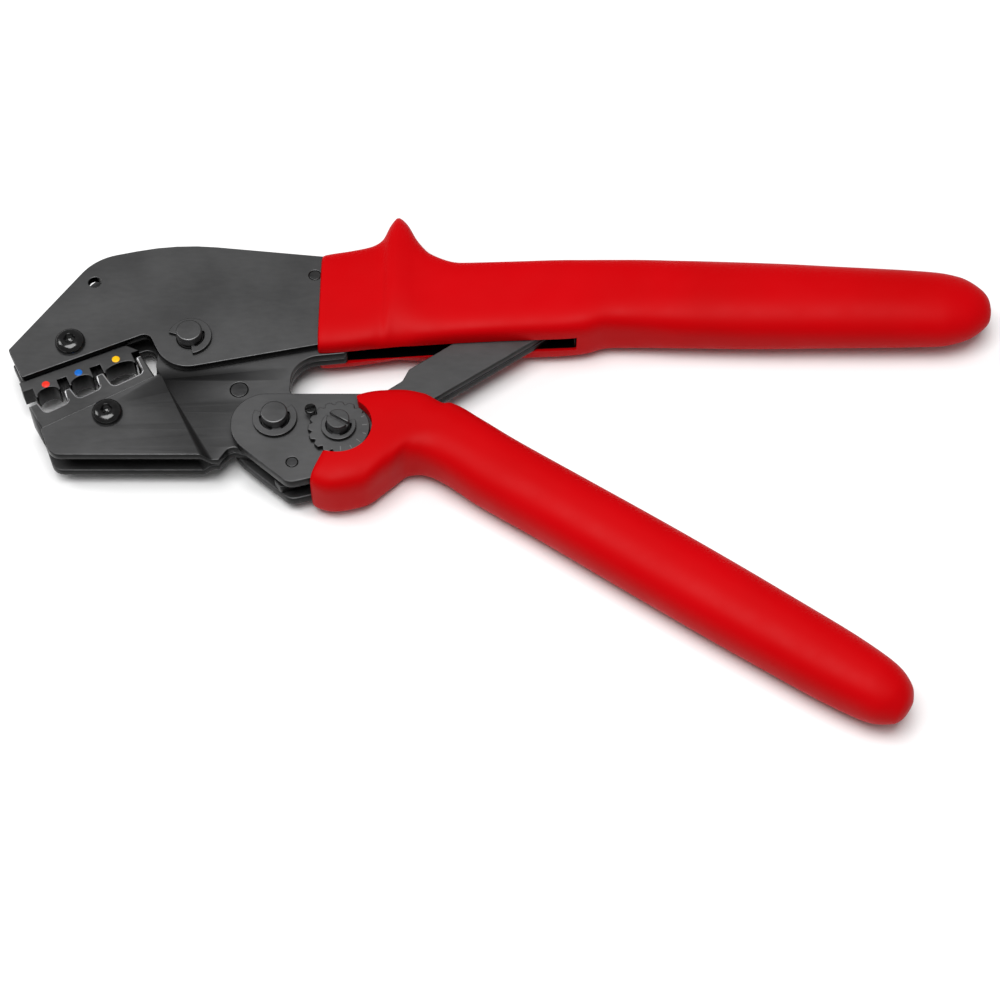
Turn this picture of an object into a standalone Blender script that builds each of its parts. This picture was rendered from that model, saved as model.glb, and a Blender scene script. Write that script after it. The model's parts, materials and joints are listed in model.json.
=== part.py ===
"""Lever crimping pliers for insulated cable terminals, lying flat and open.

Lengths are in millimetres and are scaled to metres when a mesh is written.
Plan positions are measured from the main pivot, X along the tool and Y away from the lower handle.
Heights are measured from the middle plane of the tool, which every plate pair is symmetric about.
The plans are drawn with the tool open; a moving piece hangs from an empty on its joint's axis.
"""
import math

import bmesh
import bpy
from mathutils import Vector
from mathutils.geometry import tessellate_polygon

MM = 0.001

# driving sizes: the linkage, open
MAIN_PIVOT_FROM_MIDDLE = (-79.25, 32.9)
TOGGLE_PIVOT = (22.7, -25.3)
LINK_PIVOT = (38.6, -28.6)
LINK_LENGTH = 66.0
LINK_ANGLE = 36.5
ANCHOR_OFFSET = (0.2, 0.06)
JAW_CLOSING = 5.9

# driving sizes: the plate stack
GAP = 4.9
PLAY = 0.2
FRAME_PLATE = 2.1
INNER_PLATE = 2.1
HANDLE_PLATE = 2.7
REST_GAP = 0.3
RUNNING = 0.07

# driving sizes: pins, screws and the wheel
MAIN_PIN_R = 3.25
TOGGLE_PIN_R = 3.3
BOLT_R = 2.8
ECCENTRICITY = 0.35
ANCHOR_PIN_R = 2.5
ANCHOR_HOLE_PLAY = 0.45
RIVET_R = 1.55
JAW_RIVET_R = 2.25
PAWL_PIN_R = 1.45
PIN_HEAD = 1.2
PIN_HEAD_WIDER = 1.3
CLIP = 0.8
CLIP_R = 5.5
BOLT_CLIP_R = 4.3
PIN_PROUD = 2.3
BOLT_PROUD = 2.6
WHEEL_R = 7.6
WHEEL = 1.5
WHEEL_NOTCHES = 16
LOCK_NECK_R = 0.7
LOCK_HEAD_R = 1.45
SCREW_R = 2.0
SCREW_HEAD_R = 3.8
SCREW_HEAD = 2.2
SOCKET_R = 1.45
SOCKET_DEPTH = 1.3

# driving sizes: the die set, in a frame that runs along the plate's edge
MOUTH_ANGLE = 24.7
MOUTH_CORNER = (-41.2, -12.3)
MOUTH_WIDTH = 12.1
DIE_LENGTH = 29.7
UPPER_DIE_HALF = 2.85
UPPER_DIE_START = -0.9
TONGUE_DEPTH = 8.0
PILLARS = ((-1.4, 1.3), (8.2, 10.1), (16.9, 19.1), (28.0, 29.7))
PILLAR_TOP = 7.6
NEST_FLOORS = (3.7, 3.6, 2.5)
SLOT_TOP = 3.0
SLOT_PLAY = 0.3
RIM = 6.0
ARCH_TOPS = (4.2, 4.3, 4.6)
MARK_R = 1.0
MARK_ALONG = (5.0, 13.6, 23.5)
MARK_DOWN = 3.2
MARK_HEIGHT = 0.15
DIE_SCREW_ALONG = 14.6
UPPER_SCREW_UP = 5.0
LOWER_SCREW_DOWN = 4.3

# driving sizes: the grips
GRIP_HALF = 8.2
UPPER_GRIP_END = 203.8
UPPER_PLATE_END = 150.0
GRIP_SLOT_END = 97.5
GUARD_HEIGHT = 40.1
LOWER_GRIP_START = (66.0, -28.6)
LOWER_GRIP_STRAIGHT = 119.0
LOWER_GRIP_ANGLE = -35.0
LOWER_PLATE_END = 56.0
SPACER_R = 2.6
ARC_STEP = 18

STEEL = ("burnished_steel", (0.075, 0.078, 0.082), 0.38, 0.85)
BLACK_STEEL = ("black_screw_steel", (0.02, 0.02, 0.022), 0.25, 0.7)
DIE_STEEL = ("die_steel", (0.11, 0.11, 0.115), 0.35, 0.9)
SPRING_STEEL = ("spring_steel", (0.35, 0.35, 0.36), 0.3, 1.0)
RED_PLASTIC = ("red_plastic", (0.62, 0.01, 0.012), 0.42, 0.0)
MARK_RED = ("mark_red", (0.75, 0.03, 0.02), 0.4, 0.0)
MARK_BLUE = ("mark_blue", (0.02, 0.17, 0.6), 0.4, 0.0)
MARK_YELLOW = ("mark_yellow", (0.85, 0.6, 0.02), 0.4, 0.0)

# heights above the middle plane that follow from the stack
INNER_HIGH = GAP / 2 - PLAY
INNER_LOW = INNER_HIGH - INNER_PLATE
FRAME_HIGH = GAP / 2 + FRAME_PLATE
HANDLE_HIGH = GAP / 2 + HANDLE_PLATE
WHEEL_LOW = HANDLE_HIGH + PLAY / 2
WHEEL_HIGH = WHEEL_LOW + WHEEL


def turn(point, degrees, centre=(0.0, 0.0)):
    """A plan point turned about a centre."""
    c, s = math.cos(math.radians(degrees)), math.sin(math.radians(degrees))
    x, y = point[0] - centre[0], point[1] - centre[1]
    return centre[0] + c * x - s * y, centre[1] + s * x + c * y


def polar(centre, radius, degrees):
    return turn((centre[0] + radius, centre[1]), degrees, centre)


def from_line(origin, degrees, along, across):
    """A point given along and across a line that starts at origin."""
    x, y = turn((along, across), degrees)
    return origin[0] + x, origin[1] + y


ANCHOR = from_line(LINK_PIVOT, LINK_ANGLE, LINK_LENGTH, 0)
ANCHOR_AT = (ANCHOR[0] + ANCHOR_OFFSET[0], ANCHOR[1] + ANCHOR_OFFSET[1])
JAW_LINE_ANGLE = MOUTH_ANGLE + JAW_CLOSING
JAW_CORNER = turn(from_line(MOUTH_CORNER, MOUTH_ANGLE, 0, -MOUTH_WIDTH), JAW_CLOSING)
UPPER_SCREW = from_line(MOUTH_CORNER, MOUTH_ANGLE, DIE_SCREW_ALONG, UPPER_SCREW_UP)
LOWER_SCREW = from_line(JAW_CORNER, JAW_LINE_ANGLE, DIE_SCREW_ALONG, -LOWER_SCREW_DOWN)
JAW_RIVET = (13.0, -14.3)
PAWL_PIVOT = (LINK_PIVOT[0] - 11.1, LINK_PIVOT[1] - 9.2)
LOCK_SCREW = polar(LINK_PIVOT, WHEEL_R + LOCK_NECK_R + PLAY, 146)
FRAME_RIVETS = ((30.6, 20.0), (128.0, 12.5))
NOSE_HOLE = (-25.7, 17.7)
NOSE_HOLE_R = 1.6
SPRING_POST = (PAWL_PIVOT[0] + 9.0, PAWL_PIVOT[1] - 1.0)
HANDLE_RIVETS = ((46.4, -36.8), from_line(LOWER_GRIP_START, LOWER_GRIP_ANGLE, LOWER_PLATE_END - 8, 0))
LINK_RIVET = from_line(LINK_PIVOT, LINK_ANGLE, LINK_LENGTH - 12, 1)


def rounded(corners):
    """A closed plan outline through corners (x, y, radius), each rounded by an arc."""
    points = []
    for i, (x, y, radius) in enumerate(corners):
        here = Vector((x, y))
        back = (Vector(corners[i - 1][:2]) - here).normalized()
        ahead = (Vector(corners[(i + 1) % len(corners)][:2]) - here).normalized()
        bend = math.pi - back.angle(ahead)
        if radius <= 0 or bend < 0.02:
            points.append((x, y))
            continue
        reach = radius * math.tan(bend / 2)
        centre = here + (back + ahead).normalized() * radius / math.cos(bend / 2)
        start, end = here + back * reach - centre, here + ahead * reach - centre
        steps = max(1, math.ceil(math.degrees(bend) / ARC_STEP))
        sweep = math.atan2(start.cross(end), start.dot(end))
        for k in range(steps + 1):
            points.append(turn(tuple(centre + start), math.degrees(sweep * k / steps), tuple(centre)))
    return points


def circle(centre, radius, segments=28, start=0.0):
    return [polar(centre, radius, start + 360 * k / segments) for k in range(segments)]


def grown(loop, distance):
    """An outline moved outwards, for a pocket that clears it."""
    area = sum(a[0] * b[1] - b[0] * a[1] for a, b in zip(loop, loop[1:] + loop[:1]))
    sign = 1 if area > 0 else -1
    out = []
    for i, (x, y) in enumerate(loop):
        back = Vector((x - loop[i - 1][0], y - loop[i - 1][1])).normalized()
        nxt = loop[(i + 1) % len(loop)]
        ahead = Vector((nxt[0] - x, nxt[1] - y)).normalized()
        normal = Vector((back.y + ahead.y, -back.x - ahead.x)).normalized()
        stretch = sign * distance / max(0.5, normal.dot(Vector((ahead.y, -ahead.x))))
        out.append((x + normal.x * stretch, y + normal.y * stretch))
    return out


def slab(loops, low, high, lift=None):
    """A flat plate between two heights; the first loop is its outline, the others are holes."""
    bm = bmesh.new()
    flat = [[Vector((x, y, 0)) for x, y in loop] for loop in loops]
    faces = tessellate_polygon(flat)
    layers = [[bm.verts.new((p.x, p.y, z)) for loop in flat for p in loop] for z in (low, high)]
    for layer in layers:
        for face in faces:
            bm.faces.new([layer[i] for i in face])
    first = 0
    for loop in flat:
        for k in range(len(loop)):
            a, b = first + k, first + (k + 1) % len(loop)
            bm.faces.new((layers[0][a], layers[0][b], layers[1][b], layers[1][a]))
        first += len(loop)
    bmesh.ops.recalc_face_normals(bm, faces=bm.faces)
    if lift:
        lift(bm)
    return bm


def turned(profile, centre, segments=28):
    """A solid of revolution about a vertical axis; the profile is (radius, height) from the bottom up."""
    bm = bmesh.new()
    rings = []
    for radius, height in profile:
        if radius == 0:
            rings.append([bm.verts.new((centre[0], centre[1], height))] * segments)
        else:
            rings.append([bm.verts.new((x, y, height)) for x, y in circle(centre, radius, segments)])
    for low, high in zip(rings, rings[1:]):
        for k in range(segments):
            j = (k + 1) % segments
            corners = list(dict.fromkeys((low[k], low[j], high[j], high[k])))
            if len(corners) > 2:
                bm.faces.new(corners)
    bmesh.ops.recalc_face_normals(bm, faces=bm.faces)
    return bm


def lofted(rings):
    """A closed skin over rings of points, with a fan at each end."""
    bm = bmesh.new()
    layers = [[bm.verts.new(p) for p in ring] for ring in rings]
    count = len(rings[0])
    for low, high in zip(layers, layers[1:]):
        for k in range(count):
            j = (k + 1) % count
            bm.faces.new((low[k], low[j], high[j], high[k]))
    for layer in (layers[0], layers[-1]):
        middle = sum((v.co for v in layer), Vector()) / count
        tip = bm.verts.new(middle)
        for k in range(count):
            bm.faces.new((layer[k], layer[(k + 1) % count], tip))
    bmesh.ops.recalc_face_normals(bm, faces=bm.faces)
    return bm


def material(finish):
    name, colour, roughness, metallic = finish
    made = bpy.data.materials.get(name)
    if made:
        return made
    made = bpy.data.materials.new(name)
    made.use_nodes = True
    shader = made.node_tree.nodes["Principled BSDF"]
    shader.inputs["Base Color"].default_value = (*colour, 1)
    shader.inputs["Roughness"].default_value = roughness
    shader.inputs["Metallic"].default_value = metallic
    return made


def body(name, pivot, parent=None):
    """An empty on a joint's axis, at the middle plane, that a body's pieces hang from."""
    empty = bpy.data.objects.new(f"{name}_joint", None)
    bpy.context.collection.objects.link(empty)
    empty.parent = parent
    world = [MAIN_PIVOT_FROM_MIDDLE[0] + pivot[0], MAIN_PIVOT_FROM_MIDDLE[1] + pivot[1], GRIP_HALF]
    empty["pivot"] = pivot
    empty["world"] = world
    base = parent["world"] if parent else (0, 0, 0)
    empty.location = [(a - b) * MM for a, b in zip(world, base)]
    return empty


def node(name, bm, owner, finish):
    """Hang a mesh drawn from the main pivot on its body's empty."""
    pivot = owner["pivot"]
    for vert in bm.verts:
        vert.co = Vector((vert.co.x - pivot[0], vert.co.y - pivot[1], vert.co.z)) * MM
    mesh = bpy.data.meshes.new(name)
    bm.to_mesh(mesh)
    bm.free()
    mesh.shade_smooth()
    mesh.set_sharp_from_angle(angle=math.radians(30))
    obj = bpy.data.objects.new(name, mesh)
    bpy.context.collection.objects.link(obj)
    obj.parent = owner
    if finish:
        mesh.materials.append(material(finish))
    return obj


def cut(obj, bm, name):
    """Take a shape out of an object with a cutter that stays in the file, hidden."""
    cutter = node(name, bm, obj.parent, None)
    cutter.hide_render = True
    cutter.display_type = "WIRE"
    step = obj.modifiers.new(name, "BOOLEAN")
    step.operation = "DIFFERENCE"
    step.solver = "EXACT"
    step.object = cutter


def pair(name, loops, low, high, owner, finish, lift=None):
    """A plate above the middle plane and its mirror image below."""
    for side, word in ((1, "top"), (-1, "bottom")):
        shape = (lambda bm, s=side: lift(bm, s)) if lift else None
        heights = sorted((side * low, side * high))
        node(f"{name}_{word}", slab(loops, *heights, shape), owner, finish)


def clip_pin(name, centre, radius, plate_high, owner, clip_r, opening):
    """A headed pin through a plate pair, held on top by a spring clip in a groove."""
    head_r = radius + PIN_HEAD_WIDER
    neck_r = radius - 0.6
    groove = plate_high + PLAY / 2
    top = groove + CLIP + PLAY + PIN_PROUD
    under = -(plate_high + PLAY)
    profile = [(0, under - PIN_HEAD), (head_r - 0.3, under - PIN_HEAD), (head_r, under - PIN_HEAD + 0.3),
               (head_r, under), (radius, under), (radius, groove), (neck_r, groove),
               (neck_r, groove + CLIP + PLAY), (radius, groove + CLIP + PLAY),
               (radius, top - 0.35), (radius - 0.35, top), (0, top)]
    node(name, turned(profile, centre), owner, BLACK_STEEL)
    clip(name, centre, neck_r + RUNNING, clip_r, groove + PLAY / 2, opening, owner)


def clip(name, centre, inner_r, outer_r, low, opening, owner):
    """An open spring clip, with its mouth at the angle opening."""
    mouth = 52
    arc = [opening + mouth + (360 - 2 * mouth) * k / 18 for k in range(19)]
    loop = [polar(centre, outer_r, a) for a in arc] + [polar(centre, inner_r, a) for a in reversed(arc)]
    node(f"{name}_clip", slab([loop], low, low + CLIP), owner, STEEL)


def cap_screw(name, centre, seat, owner):
    """A button-head socket screw through a plate pair, its head on top."""
    end = -FRAME_HIGH
    profile = [(0, end), (SCREW_R - 0.3, end), (SCREW_R, end + 0.3), (SCREW_R, seat), (SCREW_HEAD_R, seat),
               (SCREW_HEAD_R, seat + 0.5), (SCREW_HEAD_R * 0.88, seat + 1.3),
               (SCREW_HEAD_R * 0.62, seat + 1.95), (SCREW_HEAD_R * 0.42, seat + SCREW_HEAD), (0, seat + SCREW_HEAD)]
    screw = node(name, turned(profile, centre), owner, BLACK_STEEL)
    socket = circle(centre, SOCKET_R, 6, 10)
    cut(screw, slab([socket], seat + SCREW_HEAD - SOCKET_DEPTH, seat + SCREW_HEAD + 1), f"{name}_socket")


def rivet(name, centre, radius, half, owner):
    """A plain round pin, flush with the outer faces of the plates that it holds."""
    node(name, turned([(0, -half), (radius, -half), (radius, half), (0, half)], centre, 20), owner, STEEL)


def spaced_rivets(name, centres, half, owner):
    """Rivets through a plate pair, each with a tube round it that keeps the plates apart."""
    for centre, place in zip(centres, ("front", "rear")):
        rivet(f"{name}_rivet_{place}", centre, RIVET_R, half, owner)
        walls = [circle(centre, SPACER_R, 20), circle(centre, RIVET_R + REST_GAP, 20)]
        reach = GAP / 2 - REST_GAP / 2
        node(f"{name}_spacer_{place}", slab(walls, -reach, reach), owner, STEEL)


# plate outlines, open
FRAME_OUTLINE = rounded((
    (-45.4, -3.7, 0.6), (*MOUTH_CORNER, 0.8),
    (*from_line(MOUTH_CORNER, MOUTH_ANGLE, 33.6, 0), 2.2),
    (-5.0, -10.0, 8.8), (32.5, -2.0, 3.0), (38.0, 1.0, 6.0), (96.0, 4.6, 20.0),
    (UPPER_PLATE_END, 7.2, 3.0), (UPPER_PLATE_END, 17.5, 3.0), (60.0, 21.2, 20.0), (38.0, 22.4, 2.0),
    (33.5, 26.0, 1.5), (-5.5, 30.3, 60.0), (-26.2, 25.3, 14.0)))
JAW_OUTLINE = rounded((
    (*from_line(JAW_CORNER, JAW_LINE_ANGLE, PILLARS[0][0], 0), 0.3), (-31.8, -35.3, 3.4), (9.2, -35.3, 0.8), (11.7, -31.2, 2.2), (16.2, -32.7, 2.0),
    (TOGGLE_PIVOT[0] + 7.2, TOGGLE_PIVOT[1] - 7.4, 7.2), (TOGGLE_PIVOT[0] + 7.2, -19.0, 4.0),
    (25.7, -15.0, 2.0), (25.7, -4.6, 7.5), (39.6, -3.0, 1.5), (39.6, 2.6, 2.0), (8.0, 8.3, 10.0),
    (-8.3, 8.3, 8.2), (-8.3, -7.0, 3.0), (*from_line(JAW_CORNER, JAW_LINE_ANGLE, 30.2, 0), 0.4)))
HANDLE_OUTLINE = rounded((
    (11.6, -17.5, 8.6), (11.9, -30.8, 10.0), (26.7, -43.9, 3.4), (33.0, -42.2, 2.0), (44.5, -41.6, 4.0),
    (*from_line(LOWER_GRIP_START, LOWER_GRIP_ANGLE, -4.0, -5.4), 6.0),
    (*from_line(LOWER_GRIP_START, LOWER_GRIP_ANGLE, LOWER_PLATE_END, -5.4), 2.0),
    (*from_line(LOWER_GRIP_START, LOWER_GRIP_ANGLE, LOWER_PLATE_END, 5.4), 2.0),
    (*from_line(LOWER_GRIP_START, LOWER_GRIP_ANGLE, 0, 5.4), 10.0), (54.0, -17.5, 6.0)))


def frame_body():
    owner = body("frame", (0, 0))
    holes = [circle((0, 0), MAIN_PIN_R + RUNNING), circle(NOSE_HOLE, NOSE_HOLE_R, 20),
             circle(UPPER_SCREW, SCREW_R + REST_GAP / 2, 20), circle(ANCHOR_AT, ANCHOR_PIN_R + RUNNING, 20)]
    holes += [circle(c, RIVET_R + RUNNING, 20) for c in FRAME_RIVETS]
    pair("frame_plate", [FRAME_OUTLINE, *holes], GAP / 2, FRAME_HIGH, owner, STEEL)
    clip_pin("main_pin", (0, 0), MAIN_PIN_R, FRAME_HIGH, owner, CLIP_R, 225)
    spaced_rivets("frame", FRAME_RIVETS, FRAME_HIGH, owner)
    half = FRAME_HIGH
    profile = [(0, -half), (ANCHOR_PIN_R, -half), (ANCHOR_PIN_R, half), (0, half)]
    node("link_anchor_pin", turned(profile, ANCHOR_AT, 20), owner, STEEL)
    upper_die(owner)
    cap_screw("upper_die_screw", UPPER_SCREW, FRAME_HIGH + REST_GAP / 2, owner)
    upper_grip(owner)
    return owner


def upper_die(owner):
    """The fixed die: three arches between slots, with a tongue between the frame plates."""
    line = [(UPPER_DIE_START, -REST_GAP / 2), (UPPER_DIE_START, -SLOT_TOP)]
    for k, arch in enumerate(ARCH_TOPS):
        left, right = PILLARS[k][1] + SLOT_PLAY, PILLARS[k + 1][0] - SLOT_PLAY
        rim = 0.45
        middle, reach = (left + right) / 2, (right - left) / 2 - rim
        line += [(left, -SLOT_TOP), (left, -RIM), (left + rim, -RIM)]
        line += [(middle - reach * math.cos(a), -RIM + (RIM - arch) * math.sin(a))
                 for a in [math.pi * i / 8 for i in range(1, 8)]]
        line += [(right - rim, -RIM), (right, -RIM), (right, -SLOT_TOP)]
    line += [(DIE_LENGTH, -SLOT_TOP), (DIE_LENGTH - 2.4, -REST_GAP / 2)]
    shape = [from_line(MOUTH_CORNER, MOUTH_ANGLE, *p) for p in line]
    tongue = [(1.0, -REST_GAP), (1.0, TONGUE_DEPTH), (DIE_LENGTH - 3.0, TONGUE_DEPTH),
              (DIE_LENGTH - 3.0, -REST_GAP)]
    tongue = [from_line(MOUTH_CORNER, MOUTH_ANGLE, *p) for p in tongue]
    hole = circle(UPPER_SCREW, SCREW_R + REST_GAP / 2, 20)
    die_with_tongue("upper_die", shape, tongue, hole, UPPER_DIE_HALF, owner)
    words = (("red", MARK_RED), ("blue", MARK_BLUE), ("yellow", MARK_YELLOW))
    for along, (word, finish) in zip(MARK_ALONG, words):
        spot = from_line(MOUTH_CORNER, MOUTH_ANGLE, along, -MARK_DOWN)
        base = UPPER_DIE_HALF + 0.05
        profile = [(0, base), (MARK_R, base), (MARK_R * 0.8, base + MARK_HEIGHT), (0, base + MARK_HEIGHT)]
        node(f"{word}_die_mark", turned(profile, spot, 20), owner, finish)


def lower_die(owner):
    """The moving die: four pillars with three nests, as thick as the jaw, with a tongue between its plates."""
    line = [(PILLARS[0][0], REST_GAP / 2)]
    for k, (left, right) in enumerate(PILLARS):
        if k:
            line.append((left - 0.25, NEST_FLOORS[k - 1] + 0.9))
        line += [(left + 0.1, PILLAR_TOP - 0.4), (left + 0.5, PILLAR_TOP), (right - 0.5, PILLAR_TOP),
                 (right - 0.1, PILLAR_TOP - 0.4)]
        if k < len(NEST_FLOORS):
            floor, nxt = NEST_FLOORS[k], PILLARS[k + 1][0]
            line += [(right + 0.25, floor + 0.9), (right + 0.7, floor + 0.25), (right + 1.5, floor),
                     (nxt - 1.5, floor), (nxt - 0.7, floor + 0.25)]
    line.append((PILLARS[-1][1], REST_GAP / 2))
    shape = [from_line(JAW_CORNER, JAW_LINE_ANGLE, *p) for p in line]
    tongue = [(1.5, REST_GAP), (DIE_LENGTH - 2.5, REST_GAP), (DIE_LENGTH - 6.0, -TONGUE_DEPTH + 1.0),
              (1.5, -TONGUE_DEPTH + 1.0)]
    tongue = [from_line(JAW_CORNER, JAW_LINE_ANGLE, *p) for p in tongue]
    hole = circle(LOWER_SCREW, SCREW_R + REST_GAP / 2, 20)
    die_with_tongue("lower_die", shape, tongue, hole, FRAME_HIGH, owner)


def die_with_tongue(name, shape, tongue, hole, half, owner):
    """A die is one piece: its working face outside the plates, its thinner tongue between them."""
    thin = GAP / 2 - PLAY / 2
    die = node(name, slab([shape], -half, half), owner, DIE_STEEL)
    part = node(f"{name}_tongue", slab([tongue, hole], -thin, thin), owner, None)
    part.hide_render = True
    part.display_type = "WIRE"
    step = die.modifiers.new("tongue", "BOOLEAN")
    step.operation = "UNION"
    step.solver = "EXACT"
    step.object = part


def oval(centre_a, centre_b, half, squareness, count=20):
    """A cross-section between two plan points: a superellipse that is half thick on each side."""
    ring = []
    for k in range(count):
        angle = 2 * math.pi * k / count
        c, s = math.cos(angle), math.sin(angle)
        along = math.copysign(abs(c) ** (2 / squareness), c)
        height = math.copysign(abs(s) ** (2 / squareness), s)
        x = (centre_a[0] + centre_b[0]) / 2 + (centre_a[0] - centre_b[0]) / 2 * along
        y = (centre_a[1] + centre_b[1]) / 2 + (centre_a[1] - centre_b[1]) / 2 * along
        ring.append((x, y, height * half))
    return ring


def upper_grip(owner):
    """A moulded sleeve over the frame's tail, with a thumb guard and a slot for the link."""
    end = UPPER_GRIP_END
    guard = GUARD_HEIGHT
    ribs = [(32.2, 26.3, -3.0, 6.2, 5), (33.0, 26.8, -3.3, 6.8, 5), (40.5, 28.4, -2.7, 6.9, 5),
            (45.0, 29.8, -2.1, 7.1, 4.6), (47.8, guard - 7.6, -1.9, 7.7, 3.8), (50.0, guard - 2.2, -1.7, 8.1, 3.2),
            (51.6, guard, -1.5, GRIP_HALF, 3), (53.6, guard - 1.9, -1.3, GRIP_HALF, 3.2),
            (57.0, guard - 8.9, -1.0, 8.15, 4), (60.4, guard - 13.3, -0.7, 8.1, 4.6), (68.0, 23.7, -0.1, 8.0, 5),
            (80.0, 23.9, 0.6, 8.0, 5), (94.0, 24.5, 1.2, 8.0, 4.6), (99.5, 24.7, 1.7, 8.0, 4.2),
            (106.0, 24.9, 3.4, 8.0, 3.8), (114.0, 25.2, 3.2, 8.0, 3.4),
            (end - 79, 25.5, 2.5, 8.0, 2.8), (end - 55, 25.0, 1.9, 7.9, 2.5), (end - 38, 24.2, 1.9, 7.8, 2.3), (end - 14, 22.7, 2.1, 7.2, 2.2),
            (end - 7.5, 21.5, 3.3, 6.2, 2.1), (end - 2.6, 18.4, 6.2, 4.4, 2), (end, 14.4, 9.8, 1.9, 2)]
    rings = [oval((x, high), (x, low), half, square) for x, high, low, half, square in ribs]
    grip = node("upper_grip", lofted(rings), owner, RED_PLASTIC)
    room = FRAME_HIGH + REST_GAP
    cut(grip, slab([grown(FRAME_OUTLINE, REST_GAP)], -room, room), "upper_grip_pocket")
    slot = [(20.0, -12.0), (GRIP_SLOT_END, -12.0), (GRIP_SLOT_END, 12.0), (20.0, 12.0)]
    cut(grip, slab([slot], -GAP / 2, GAP / 2), "upper_grip_slot")


def jaw_body(frame):
    owner = body("moving_jaw", (0, 0), frame)
    crease_low = Vector((7.9, -35.3, 0))
    crease_high = Vector((-5.4, -11.1, 0))
    across = Vector((crease_high.y - crease_low.y, crease_low.x - crease_high.x, 0)).normalized()
    width = 3.2
    rise = FRAME_HIGH - INNER_HIGH

    def joggle(bm, side):
        """Spread the plate at the die: the tail stays, and the part past the crease is offset."""
        for shift in (0, width):
            bmesh.ops.bisect_plane(bm, geom=bm.verts[:] + bm.edges[:] + bm.faces[:], dist=1e-4,
                                   plane_co=crease_low - across * shift, plane_no=across)
        for vert in bm.verts:
            flat = Vector((vert.co.x, vert.co.y, 0))
            past = (crease_low - flat).dot(across) / width
            if vert.co.y < crease_high.y + 0.1:
                vert.co.z += side * rise * min(1, max(0, past))

    holes = [circle((0, 0), MAIN_PIN_R + RUNNING), circle(TOGGLE_PIVOT, TOGGLE_PIN_R + RUNNING),
             circle(JAW_RIVET, JAW_RIVET_R + RUNNING, 20), circle(LOWER_SCREW, SCREW_R + REST_GAP / 2, 20)]
    pair("jaw_plate", [JAW_OUTLINE, *holes], INNER_LOW, INNER_HIGH, owner, STEEL, joggle)
    rivet("jaw_rivet", JAW_RIVET, JAW_RIVET_R, INNER_HIGH, owner)
    lower_die(owner)
    cap_screw("lower_die_screw", LOWER_SCREW, FRAME_HIGH + REST_GAP / 2, owner)
    return owner


def handle_body(jaw):
    owner = body("lower_handle", TOGGLE_PIVOT, jaw)
    holes = [circle(TOGGLE_PIVOT, TOGGLE_PIN_R + RUNNING), circle(LINK_PIVOT, BOLT_R + RUNNING),
             circle(PAWL_PIVOT, PAWL_PIN_R + RUNNING, 20)]
    holes += [circle(c, RIVET_R + RUNNING, 20) for c in HANDLE_RIVETS]
    post = circle(SPRING_POST, 0.8, 16)
    screw_hole = circle(LOCK_SCREW, LOCK_NECK_R + REST_GAP / 2, 16)
    node("handle_plate_top", slab([HANDLE_OUTLINE, *holes, post, screw_hole], GAP / 2, HANDLE_HIGH),
         owner, STEEL)
    node("handle_plate_bottom", slab([HANDLE_OUTLINE, *holes, post], -HANDLE_HIGH, -GAP / 2), owner, STEEL)
    clip_pin("toggle_pin", TOGGLE_PIVOT, TOGGLE_PIN_R, HANDLE_HIGH, owner, CLIP_R, 100)
    rivet("pawl_pin", PAWL_PIVOT, PAWL_PIN_R, HANDLE_HIGH, owner)
    rivet("spring_post", SPRING_POST, 0.8 - RUNNING, HANDLE_HIGH, owner)
    spaced_rivets("handle", HANDLE_RIVETS, HANDLE_HIGH, owner)
    lock_screw(owner)
    lower_grip(owner)
    return owner


def lock_screw(owner):
    """A slotted screw whose head holds the wheel's rim down and whose neck clears it."""
    under = WHEEL_HIGH + PLAY
    top = under + 1.0
    foot = GAP / 2 + 0.3
    profile = [(0, foot), (LOCK_NECK_R, foot), (LOCK_NECK_R, under), (LOCK_HEAD_R, under),
               (LOCK_HEAD_R, top - 0.2), (LOCK_HEAD_R - 0.2, top), (0, top)]
    screw = node("wheel_lock_screw", turned(profile, LOCK_SCREW, 20), owner, BLACK_STEEL)
    cut(screw, screw_slot(LOCK_SCREW, 2 * LOCK_HEAD_R + 1, 0.5, top - 0.45, top + 1, 20), "lock_screw_slot")


def screw_slot(centre, length, width, low, high, degrees):
    corners = [(-length / 2, -width / 2), (length / 2, -width / 2), (length / 2, width / 2),
               (-length / 2, width / 2)]
    return slab([[from_line(centre, degrees, *c) for c in corners]], low, high)


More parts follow.
